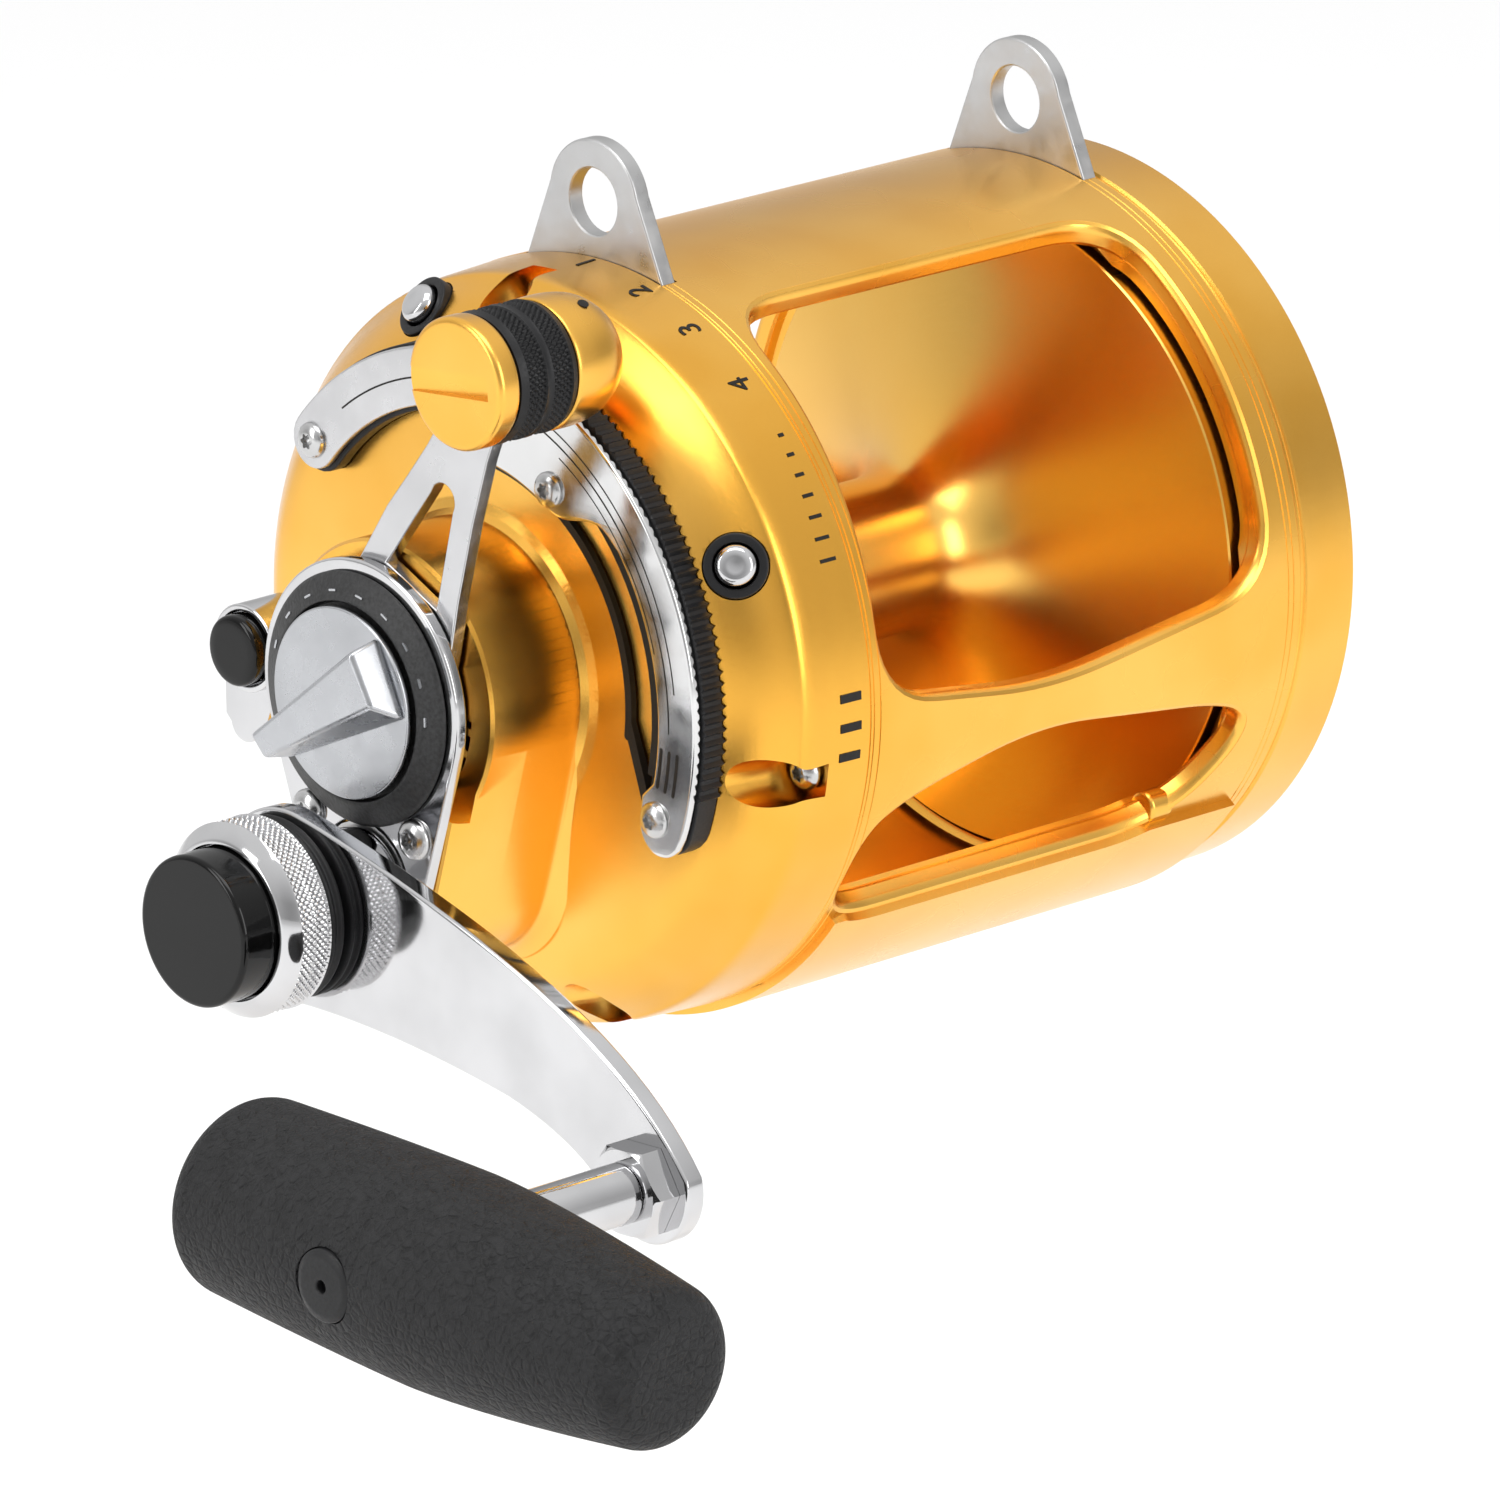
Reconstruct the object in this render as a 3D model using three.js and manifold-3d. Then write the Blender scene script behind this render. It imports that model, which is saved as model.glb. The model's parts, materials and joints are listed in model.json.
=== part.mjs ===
// Two-speed lever-drag trolling reel, handle on the right side.
//
// Millimetres, +Z up. +X runs along the spool axis towards the handle side,
// +Y is the front, where the line leaves. The origin is the middle of the
// machined pad under the frame, where the rod foot or clamp is screwed on.
// Inside the reel group, X = 0 is the seam between frame and right side plate
// and Y = Z = 0 is the spool axis.

import * as THREE from 'three';
import { mergeVertices } from 'three/addons/utils/BufferGeometryUtils.js';
import Module from 'manifold-3d';

const wasm = await Module();
wasm.setup();

// ---------------------------------------------------------------- dimensions

const REEL_RADIUS = 61;          // frame and number band
const FRAME_LENGTH = 96.3;       // seam to seam
const FRAME_WALL = 4.5;
const PAD_DEPTH = 61.6;          // spool axis to the pad under the frame
const LEFT_RIM = -109.2;         // outer edge of the left side plate

const WINDOW_NEAR = -2.5;        // frame windows, along the axis
const WINDOW_FAR = -88.5;
const BOTTOM_RADIUS = 62.4;      // lower bridge stands slightly proud
const FRONT_WINDOW = [-3.5, 66.5];     // degrees above the front, around the axis
const LOW_WINDOW = [-38, -13];

const SPOOL_RIM = 53.5;
const SPOOL_ARBOR = 13;
const SPOOL_RIGHT = 1.5;
const SPOOL_LEFT = -91;
const SHAFT_RADIUS = 3.9;

const BAND_WIDTH = 14.2;         // engraved number band
const FACE = 23.4;               // flat of the right side plate near its edge
const BOSS_RADIUS = 24.1;
const BOSS_FRONT = 45.5;
const BRIDGE_BACK = 49;          // bridge plate over the boss
const BRIDGE_FRONT = 51.3;

const HANDLE_DROP = 30;          // handle axis below the spool axis
const CRANK = 85;
const CRANK_ANGLE = -18.8;
const ARM_BACK = 64.2;
const ARM_FRONT = 67.9;
const HUB_FRONT = 80.3;
const BUTTON_FRONT = 87;
const GRIP_AXIS_X = 117;
const GRIP_RADIUS = 17;
const GRIP_TILT = -4;            // as it lies at rest
const GRIP_REACH = [-37.5, 58.5];   // past the spindle, behind and in front
const GRIP_ENDS = [0.91, 0.72];  // radius of each end, as a share of the middle
const GRIP_EDGE = 4.4;           // rounding of the end edges

const LEVER_ANGLE = 63.5;        // lever at rest, at setting 3
const LEVER_BACK = 46;
const LEVER_FRONT = 48.7;
const KNOB_RADIUS = 10.5;
const KNOB_REACH = 62.5;
const KNOB_BACK = 24.4;
const KNOB_FRONT = 55.4;

const QUADRANT_TOP = 26.8;
const QUADRANT_RADIUS = 52.2;
const PLATE_TOP = 28.4;

const QUADRANT_SCREWS = [[46.5, 139], [37.9, 59], [45, -21]];   // radius, degrees
const FREE_SPOOL_ARC = [101, 139];      // degrees around the axis
const STRIKE_ARC = [-21, 84];
const STRIKE_HEAD = [34.6, 45, 60, 82]; // wide upper end: radii, then degrees
const CARRIER_LINE = [33.4, 34.8];      // thin inner edge of the carrier

const STOP_SEAT = [18.6, 56.2];         // where the stop buttons stand: axial, radius
const STOPS = {                         // place around the axis, tip of the slope there
  strike: { angle: 25.5, tip: 48 },
  free_spool: { angle: 109.5, tip: 38 },
};

const CLICK_PIVOT = [-45.8, -4.4];      // click lever at the rear of the face
const CLICK_HUB = [24, 34.6];
const CLICK_SLIDE = 30;                 // click button behind the left bearing cap

const LUG_THICKNESS = 3;
const LUG_HOLE = 5.4;
const LUG_CENTRE = 69.8;                // lug hole above the spool axis
const LUG_PLACES = { right_harness_lug: -3.1, left_harness_lug: -FRAME_LENGTH + 0.1 };

const BRIDGE_SCREW = [12.2, -20.4];
const DOG_REACH = 51.7;                 // anti-reverse dog pivot
const DOG_ANGLE = 142;
const DOG_TURN = 150;

const HIGH_MAIN_TEETH = 34;
const HIGH_PINION_TEETH = 14;
const LOW_MAIN_TEETH = 27;
const LOW_PINION_TEETH = 21;
const GEAR_MODULE = 2 * HANDLE_DROP / (HIGH_MAIN_TEETH + HIGH_PINION_TEETH);

const SCREW_ANGLES = [92, -10, -73, -152];   // side plate screws, around the axis
const SCREW_CIRCLE = 56.4;
const FIT = 0.15;                // radial clearance of turning fits
const GAP = 0.3;                 // clearance of pieces shaped to their neighbours

// ----------------------------------------------------------------- materials

const gold = { color: 0xe2a13a, roughness: 0.3, metalness: 1 };
const steel = { color: 0xc9cacb, roughness: 0.2, metalness: 1 };
const chrome = { color: 0xe6e7e8, roughness: 0.07, metalness: 1 };
const brushed = { color: 0xb4b5b7, roughness: 0.4, metalness: 1 };
const black = { color: 0x1b1b1d, roughness: 0.5, metalness: 0.1 };
const gloss = { color: 0x0c0c0e, roughness: 0.1, metalness: 0 };
const rubber = { color: 0x2f2f32, roughness: 0.85, metalness: 0 };
const brass = { color: 0xb99a5b, roughness: 0.35, metalness: 1 };
const carbon = { color: 0x2a2a2c, roughness: 0.7, metalness: 0.2 };

// ------------------------------------------------------------------- helpers

const rad = THREE.MathUtils.degToRad;

/** Merges a closed geometry's vertices and makes it a solid, faces out. */
function solid(geometry) {
  const bare = new THREE.BufferGeometry();
  bare.setAttribute('position', geometry.getAttribute('position').clone());
  if (geometry.index) bare.setIndex(geometry.index.clone());
  const merged = mergeVertices(bare, 1e-4);
  const position = merged.getAttribute('position');
  const corner = [0, 1, 2].map(() => new THREE.Vector3());
  const triangles = [];
  let volume = 0;
  for (let i = 0; i < merged.index.count; i += 3) {
    const [a, b, c] = [0, 1, 2].map((k) => merged.index.getX(i + k));
    if (a === b || b === c || a === c) continue;
    [a, b, c].forEach((v, k) => corner[k].fromBufferAttribute(position, v));
    volume += corner[0].dot(corner[1].clone().cross(corner[2]));
    triangles.push([a, b, c]);
  }
  const ordered = volume < 0 ? triangles.map(([a, b, c]) => [a, c, b]) : triangles;
  return new wasm.Manifold(new wasm.Mesh({
    numProp: 3,
    vertProperties: new Float32Array(position.array),
    triVerts: new Uint32Array(ordered.flat()),
  }));
}

function join(first, ...others) {
  return others.reduce((sum, other) => sum.add(other), first);
}

function cut(first, ...tools) {
  return tools.reduce((rest, tool) => rest.subtract(tool), first);
}

/** Turned piece about X from a list of [x, radius], closed on itself or on the axis. */
function turned(profile, segments = 28) {
  const points = profile.map(([x, r]) => new THREE.Vector2(r, x));
  const geometry = new THREE.LatheGeometry(points, segments);
  geometry.rotateZ(-Math.PI / 2);
  return solid(geometry);
}

/** Ring about X. */
function ring(x0, x1, inner, outer, segments = 24) {
  const profile = [[x0, inner], [x0, outer], [x1, outer], [x1, inner], [x0, inner]];
  return turned(profile, segments);
}

/** Cylinder along X, centred at y, z. */
function rod(x0, x1, radius, y = 0, z = 0, segments = 16) {
  const geometry = new THREE.CylinderGeometry(radius, radius, x1 - x0, segments);
  geometry.rotateZ(-Math.PI / 2);
  geometry.translate((x0 + x1) / 2, y, z);
  return solid(geometry);
}

/** A shape drawn in the Y-Z plane, extruded along X from x0 to x1. */
function slab(shape, x0, x1, curveSegments = 8) {
  const geometry = new THREE.ExtrudeGeometry(shape, {
    depth: x1 - x0, bevelEnabled: false, curveSegments,
  });
  return solid(standUp(geometry, x0));
}

/** Turns an extrusion along Z so that it runs along X and starts at x0. */
function standUp(geometry, x0) {
  const axes = new THREE.Matrix4().set(0, 0, 1, x0, 1, 0, 0, 0, 0, 1, 0, 0, 0, 0, 0, 1);
  return geometry.applyMatrix4(axes);
}

function box(x0, x1, y0, y1, z0, z1) {
  const geometry = new THREE.BoxGeometry(x1 - x0, y1 - y0, z1 - z0);
  geometry.translate((x0 + x1) / 2, (y0 + y1) / 2, (z0 + z1) / 2);
  return solid(geometry);
}

function outline(points) {
  return new THREE.Shape(points.map(([y, z]) => new THREE.Vector2(y, z)));
}

function disc(radius, y = 0, z = 0) {
  const shape = new THREE.Shape();
  shape.absarc(y, z, radius, 0, 2 * Math.PI);
  return shape;
}

/** Round outline at the spool axis, tapering down to a round one at the handle axis. */
function teardrop(top, bottom) {
  const lean = Math.asin((top - bottom) / HANDLE_DROP);
  const shape = new THREE.Shape();
  shape.absarc(0, 0, top, -lean, Math.PI + lean);
  shape.absarc(0, -HANDLE_DROP, bottom, Math.PI + lean, 2 * Math.PI - lean);
  shape.closePath();
  return shape;
}

/** Ring sector about the spool axis with round ends. */
function band(inner, outer, from, to) {
  const end = (outer - inner) / 2;
  const points = [];
  const arc = (radius, a, b, steps, y = 0, z = 0) => {
    for (let i = 0; i <= steps; i += 1) {
      const [u, v] = polar(radius, a + (b - a) * i / steps);
      points.push([y + u, z + v]);
    }
  };
  const steps = Math.max(2, Math.ceil((to - from) / 12));
  arc(outer, from, to, steps);
  arc(end, to + 36, to + 144, 3, ...polar(inner + end, to));
  arc(inner, to, from, steps);
  arc(end, from + 216, from + 324, 3, ...polar(inner + end, from));
  return outline(points);
}

function polar(radius, degrees) {
  return [radius * Math.cos(rad(degrees)), radius * Math.sin(rad(degrees))];
}

/** A solid turned about X by an angle, as geometry for further cutting. */
function aboutX(manifold, degrees, y = 0, z = 0) {
  const geometry = surface(manifold);
  geometry.rotateX(rad(degrees));
  geometry.translate(0, y, z);
  return solid(geometry);
}

/** A piece built about X, tipped outwards and set on the side plate's slope. */
function onSlope(manifold, { angle, tip }) {
  const geometry = surface(manifold);
  geometry.rotateZ(rad(tip));
  geometry.translate(...STOP_SEAT, 0);
  geometry.rotateX(rad(angle));
  return solid(geometry);
}

function surface(manifold) {
  const mesh = manifold.getMesh();
  const geometry = new THREE.BufferGeometry();
  geometry.setAttribute('position', new THREE.BufferAttribute(mesh.vertProperties, 3));
  geometry.setIndex(new THREE.BufferAttribute(mesh.triVerts, 1));
  return geometry;
}

function place(group, name, manifold, look) {
  const geometry = surface(manifold);
  geometry.computeVertexNormals();
  const mesh = new THREE.Mesh(geometry, new THREE.MeshStandardMaterial(look));
  mesh.name = name;
  group.add(mesh);
}

/** Gear with thinned straight-sided teeth, first tooth centred at `phase`, no bore. */
function gear(teeth, phase, x0, x1) {
  const pitch = GEAR_MODULE * teeth / 2;
  const step = 2 * Math.PI / teeth;
  const flank = [[pitch - 1.05 * GEAR_MODULE, 0.3 * step], [pitch + 0.75 * GEAR_MODULE, 0.1 * step]];
  const points = [];
  for (let i = 0; i < teeth; i += 1) {
    const centre = rad(phase) + step * i;
    const down = flank.map(([r, half]) => [r, centre - half]);
    const up = flank.map(([r, half]) => [r, centre + half]).reverse();
    [...down, ...up].forEach(([r, a]) => points.push([r * Math.cos(a), r * Math.sin(a)]));
  }
  return slab(outline(points), x0, x1);
}

/** Button-head screw along X, head at the +X end, with a six-sided recess. */
function screw(headFront, headRadius, headHeight, shankRadius, length) {
  const back = headFront - headHeight;
  const body = turned([
    [back - length, 0], [back - length, shankRadius], [back, shankRadius],
    [back, headRadius], [headFront - 0.45 * headHeight, headRadius * 0.93],
    [headFront, headRadius * 0.55], [headFront, 0],
  ], 10);
  const lobes = [];
  for (let i = 0; i < 6; i += 1) lobes.push(polar(headRadius * 0.42, 60 * i));
  return cut(body, slab(outline(lobes), headFront - 0.6 * headHeight, headFront + 1));
}

// --------------------------------------------------------------------- frame

/** Bends an outline drawn in (axial mm, degrees) into a cutter through the frame wall. */
function windowCutter(shape) {
  const geometry = new THREE.ExtrudeGeometry(shape, {
    depth: 60, bevelEnabled: false, curveSegments: 4,
  });
  const position = geometry.getAttribute('position');
  for (let i = 0; i < position.count; i += 1) {
    const angle = rad(position.getY(i));
    const radius = 46 + position.getZ(i);
    position.setXYZ(i, position.getX(i), radius * Math.cos(angle), radius * Math.sin(angle));
  }
  return solid(geometry);
}

/** Rounded four-sided window; corners are [axial, degrees], in order. */
function windowShape(corners, cornerLength) {
  const shape = new THREE.Shape();
  const point = (i) => new THREE.Vector2(...corners[(i + corners.length) % corners.length]);
  corners.forEach((corner, i) => {
    const here = point(i);
    const towards = (j) => {
      const step = point(j).sub(here);
      const reach = Math.min(cornerLength / Math.hypot(step.x, step.y), 0.5);
      return here.clone().add(step.multiplyScalar(reach));
    };
    const start = towards(i - 1);
    const end = towards(i + 1);
    if (i === 0) shape.moveTo(start.x, start.y);
    else shape.lineTo(start.x, start.y);
    shape.quadraticCurveTo(here.x, here.y, end.x, end.y);
  });
  shape.closePath();
  return shape;
}

function buildFrame(reel) {
  const inner = REEL_RADIUS - FRAME_WALL;
  const spigot = REEL_RADIUS - 4;
  const far = -FRAME_LENGTH;
  const shell = turned([
    [far, 54.4], [far, REEL_RADIUS - 0.6], [far + 1, REEL_RADIUS], [0, REEL_RADIUS],
    [0, spigot], [5, spigot], [5, 54.4], [-4, 54.4], [-6, inner],
    [WINDOW_FAR + 2, inner], [WINDOW_FAR, 54.4], [far, 54.4],
  ], 32);
  const lowArc = new THREE.Shape();
  lowArc.absarc(0, 0, BOTTOM_RADIUS, rad(-142), rad(-38));
  lowArc.absarc(0, 0, inner - 1, rad(-38), rad(-142), true);
  const bottom = slab(lowArc, WINDOW_FAR - 4, WINDOW_NEAR - 0.5, 14);
  const [near, farX] = [WINDOW_NEAR, WINDOW_FAR];
  const mirrored = (corners) => corners.map(([x, a]) => [x, 180 - a]).reverse();
  const front = [
    [near, FRONT_WINDOW[0] + 4], [-40, FRONT_WINDOW[0] - 1], [farX, 1.5], [farX, 66],
    [near - 3, FRONT_WINDOW[1]],
  ];
  const low = [
    [near + 1, LOW_WINDOW[0]], [-76, LOW_WINDOW[0]], [-88, -22], [-82, -17], [-38, -11.5],
    [-12, -17], [near, -22],
  ];
  const windows = [front, low, mirrored(low), mirrored(front)];
  const cutters = windows.map((corners) => windowCutter(windowShape(corners, 9)));
  const pad = box(-FRAME_LENGTH + 10, -8, -40, 40, -PAD_DEPTH - 5, -PAD_DEPTH);
  const holes = [];
  for (const x of [-FRAME_LENGTH / 2 - 20, -FRAME_LENGTH / 2 + 20]) {
    for (const y of [-6, 6]) {
      const hole = new THREE.CylinderGeometry(2, 2, 12, 12);
      hole.rotateX(Math.PI / 2);
      hole.translate(x, y, -PAD_DEPTH);
      holes.push(solid(hole));
    }
  }
  const seats = Object.keys(LUG_PLACES).map(lugSeat);
  const threads = SCREW_ANGLES.map((a) => rod(-5, 6, 1.8, ...polar(SCREW_CIRCLE, a), 8));
  const cage = cut(join(shell, bottom), ...cutters, pad);
  place(reel, 'frame', cut(cage, ...holes, ...seats, ...threads), gold);
}

// -------------------------------------------------------------- harness lugs

function lugShape(grow = 0) {
  const shape = new THREE.Shape();
  const foot = 15.5 + grow;
  const low = 55.5 - grow;
  const shoulder = 58.6;
  const round = 10 + grow;
  shape.moveTo(-foot, low);
  shape.lineTo(foot, low);
  shape.lineTo(foot, shoulder);
  shape.lineTo(round + 0.4, LUG_CENTRE);
  shape.absarc(0, LUG_CENTRE, round, rad(14), rad(166));
  shape.lineTo(-foot, shoulder);
  shape.closePath();
  return shape;
}

/** Pocket for a lug, a little larger than the lug all round. */
function lugSeat(name) {
  const x = LUG_PLACES[name];
  return slab(lugShape(0.2), x - 0.2, x + LUG_THICKNESS + 0.2, 10);
}

function buildLugs(reel) {
  for (const [name, x] of Object.entries(LUG_PLACES)) {
    const shape = lugShape();
    shape.holes.push(new THREE.Path().absarc(0, LUG_CENTRE, LUG_HOLE, 0, 2 * Math.PI, true));
    place(reel, name, slab(shape, x, x + LUG_THICKNESS, 10), brushed);
  }
}

// ---------------------------------------------------------- right side plate

/** Outside of the right side plate from the seam to the boss, grown by an offset. */
function domeProfile(grow) {
  return [
    [-1, REEL_RADIUS + grow], [BAND_WIDTH - 1, REEL_RADIUS - 0.7 + grow],
    [BAND_WIDTH + grow, REEL_RADIUS - 1.5 + grow],
    [18.6 + 0.7 * grow, 56.3 + 0.7 * grow], [22.3 + grow, 52.2 + 0.6 * grow],
    [FACE + grow, 49.5], [25.6 + grow, 27],
  ];
}

function housing() {
  const bevel = 2;
  const geometry = new THREE.ExtrudeGeometry(teardrop(BOSS_RADIUS - bevel, 15.5 - bevel), {
    depth: 14, bevelThickness: 11, bevelSize: bevel, bevelSegments: 1, curveSegments: 12,
  });
  const cavity = box(0, 21, -60, 60, -60, 60);
  return cut(solid(standUp(geometry, BRIDGE_BACK - 25)), cavity);
}

function buildRightPlate(reel) {
  const dome = turned([
    [0, 57.2], [0, REEL_RADIUS], ...domeProfile(0).slice(1), [25.6, 18], [20.8, 18],
    [20, 46], [17, 51.4], [13.5, 51.8], [13.5, 55.4], [5.3, 55.4], [5.3, 57.2], [0, 57.2],
  ], 32);
  const lands = SCREW_ANGLES.map((angle) => rod(5.6, 13.6, 4.9, ...polar(54.6, angle)));
  const boss = rod(22, BOSS_FRONT, BOSS_RADIUS, 0, 0, 36);
  const sweep = new THREE.Shape();
  sweep.moveTo(0, 0);
  sweep.absarc(0, 0, 30, rad(-44), rad(224));
  const pocket = join(
    slab(sweep, BOSS_FRONT, BRIDGE_BACK + 1, 6),
    rod(BOSS_FRONT, BRIDGE_BACK + 1, 19.4, 0, 0, 24),
  );
  const bores = [
    rod(19, 43, 16.5, 0, 0, 24), rod(40, 50, 11.2),
    rod(19, 50, 7.5, 0, -HANDLE_DROP), rod(19, 29.2, 10.2, 0, -HANDLE_DROP),
    rod(43.8, 50, 10.2, 0, -HANDLE_DROP),
  ];
  const recesses = SCREW_ANGLES.map((angle) => aboutX(screwRecess(), angle));
  const stops = Object.values(STOPS).map((stop) => onSlope(rod(-9, 6, 5.3, 0, 0, 12), stop));
  const click = rod(15, 30, 5.6, ...CLICK_PIVOT);
  const [screwY, screwZ] = BRIDGE_SCREW;
  const threads = [-screwY, screwY].map((y) => rod(40, 50, 1.6, y, screwZ));
  const seats = QUADRANT_SCREWS.map(([r, a]) => rod(21, 30, 1.45, ...polar(r, a), 12));
  const body = cut(join(dome, boss, housing(), ...lands), pocket, ...bores);
  const shaped = cut(body, ...recesses, ...stops, click, ...threads, ...seats, lugSeat('right_harness_lug'));
  place(reel, 'right_side_plate', shaped, gold);
}

/** Milled teardrop recess for a side plate screw, running out along the slope. */
function screwRecess() {
  const runOut = new THREE.CylinderGeometry(4, 4, 26, 10);
  runOut.rotateZ(-Math.PI / 2);
  runOut.translate(13, 0, 0);
  runOut.rotateZ(rad(-6));
  runOut.translate(8, 57.6, 0);
  const hole = rod(-1, 9, 1.8, SCREW_CIRCLE, 0, 8);
  const seat = rod(8.4, 12, 3.2, SCREW_CIRCLE, 0, 12);
  return join(solid(runOut), hole, seat);
}

function buildPlateScrews(reel) {
  SCREW_ANGLES.forEach((angle, i) => {
    const one = surface(screw(10.8, 2.9, 2.2, 1.6, 7));
    one.translate(0, SCREW_CIRCLE, 0);
    one.rotateX(rad(angle));
    place(reel, `plate_screw_${i + 1}`, solid(one), steel);
  });
}

// ------------------------------------------------------------------ quadrant

function toothedRim() {
  const teeth = 44;
  const [from, to] = [-14, 74];
  const points = [];
  for (let i = 0; i <= teeth; i += 1) {
    const angle = from + (to - from) * i / teeth;
    points.push(polar(i % 2 ? QUADRANT_RADIUS : QUADRANT_RADIUS - 0.9, angle));
  }
  points.push(polar(40, to), polar(40, from));
  return outline(points);
}

/** Straight end of the carrier's inner edge, running out to the lower screw. */
function carrierBrace() {
  const [inner, outer] = CARRIER_LINE;
  return outline([polar(inner, -6), polar(43, -27), polar(44.6, -26), polar(outer, -4)]);
}

/** Wide upper end of the strike plate, around its upper screw. */
function strikeHead() {
  return slab(band(...STRIKE_HEAD), QUADRANT_TOP, PLATE_TOP);
}

function buildQuadrant(reel) {
  const x0 = FACE - 1.5;
  const ends = [STRIKE_ARC[0], FREE_SPOOL_ARC[1]];
  const body = join(
    slab(band(41, QUADRANT_RADIUS - 0.6, ...ends), x0, QUADRANT_TOP),
    slab(toothedRim(), x0, QUADRANT_TOP),
    slab(band(...CARRIER_LINE, -8, 90), x0, QUADRANT_TOP - 0.6),
    slab(carrierBrace(), x0, QUADRANT_TOP - 0.6),
    slab(band(CARRIER_LINE[0], 43, 60, 84), x0, QUADRANT_TOP),
  );
  const below = turned([[-1, 0], ...domeProfile(GAP), [25.6 + GAP, 0]], 32);
  const holes = QUADRANT_SCREWS.map(([r, a]) => rod(20, 30, 1.6, ...polar(r, a), 12));
  place(reel, 'quadrant_carrier', cut(body, below, ...holes), black);

  const plates = {
    free_spool_plate: band(41.8, 51.2, ...FREE_SPOOL_ARC),
    strike_plate: band(42.8, 51.2, ...STRIKE_ARC),
  };
  for (const [name, shape] of Object.entries(plates)) {
    const plate = slab(shape, QUADRANT_TOP, PLATE_TOP);
    const whole = name === 'strike_plate' ? join(plate, strikeHead()) : plate;
    place(reel, name, cut(whole, ...holes), steel);
  }
  QUADRANT_SCREWS.forEach(([r, a], i) => {
    const one = surface(screw(PLATE_TOP + 1.4, 2.9, 1.4, 1.3, 5.5));
    one.translate(0, ...polar(r, a));
    place(reel, `quadrant_screw_${i + 1}`, solid(one), steel);
  });
}

// ---------------------------------------------------------------- the stops

function buildStops(reel) {
  const bush = cut(rod(-7.6, 0.9, 5.1, 0, 0, 20), rod(-5.8, 2, 3.5, 0, 0, 20));
  const pin = turned([
    [-3.2, 0], [-3.2, 3.25], [2.2, 3.25], [3.1, 2.3], [3.1, 0],
  ], 20);
  for (const [name, stop] of Object.entries(STOPS)) {
    place(reel, `${name}_stop_bush`, onSlope(bush, stop), black);
    place(reel, `${name}_stop_button`, onSlope(pin, stop), chrome);
  }
}

// -------------------------------------------------------------- bridge plate

function buildBridge(reel) {
  const shape = teardrop(22.2, 12.8);
  const plate = slab(shape, BRIDGE_BACK, BRIDGE_FRONT, 14);
  const [screwY, screwZ] = BRIDGE_SCREW;
  const threads = [-screwY, screwY].map((y) => rod(40, 60, 1.8, y, screwZ));
  const openings = [rod(40, 60, 9), rod(40, 60, 10.3, 0, -HANDLE_DROP, 20)];
  place(reel, 'bridge_plate', cut(plate, ...openings, ...threads), chrome);
  [-screwY, screwY].forEach((y, i) => {
    const one = surface(screw(BRIDGE_FRONT + 1.8, 3.3, 1.8, 1.5, 8));
    one.translate(0, y, screwZ);
    place(reel, `bridge_screw_${i + 1}`, solid(one), steel);
  });
}

// --------------------------------------------------------------- drag preset

function buildPreset(reel) {
  const back = BRIDGE_FRONT + 0.2;
  const dish = turned([
    [40, 4.3], [40, 8], [back, 8], [back, 20.4], [back + 0.7, 20.4], [54, 16], [52.8, 15.7],
    [52.8, 4.3], [40, 4.3],
  ], 28);
  place(reel, 'preset_dish', dish, black);

  const cap = rod(54.4, 55.4, 15.3, 0, 0, 28);
  const stem = rod(42, 55, 4, 0, 0, 20);
  const grip = outline([[-15, -8.2], [-12.2, -11.4], [13.5, -0.4], [8.6, 11.4]]);
  place(reel, 'preset_knob', join(cap, stem, slab(grip, 55, 60)), brushed);
}

// ---------------------------------------------------------------- drag lever

function leverOutline() {
  const shape = new THREE.Shape();
  shape.absarc(0, 0, 18.4, rad(40), rad(320));
  shape.lineTo(26, -9.6);
  shape.lineTo(39, -7.2);
  shape.lineTo(54, -6.6);
  shape.absarc(KNOB_REACH, 0, 7.9, rad(236), rad(484));
  shape.lineTo(45, 7.2);
  shape.lineTo(30, 9.6);
  shape.closePath();
  const slot = new THREE.Path();
  slot.moveTo(21.5, -5.6);
  slot.lineTo(38, -2.6);
  slot.absarc(38.4, 0, 2.7, rad(-80), rad(80));
  slot.lineTo(21.5, 5.6);
  slot.closePath();
  shape.holes.push(slot);
  shape.holes.push(new THREE.Path().absarc(0, 0, 8.4, 0, 2 * Math.PI, true));
  shape.holes.push(new THREE.Path().absarc(KNOB_REACH, 0, 4.2, 0, 2 * Math.PI, true));
  return shape;
}

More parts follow.
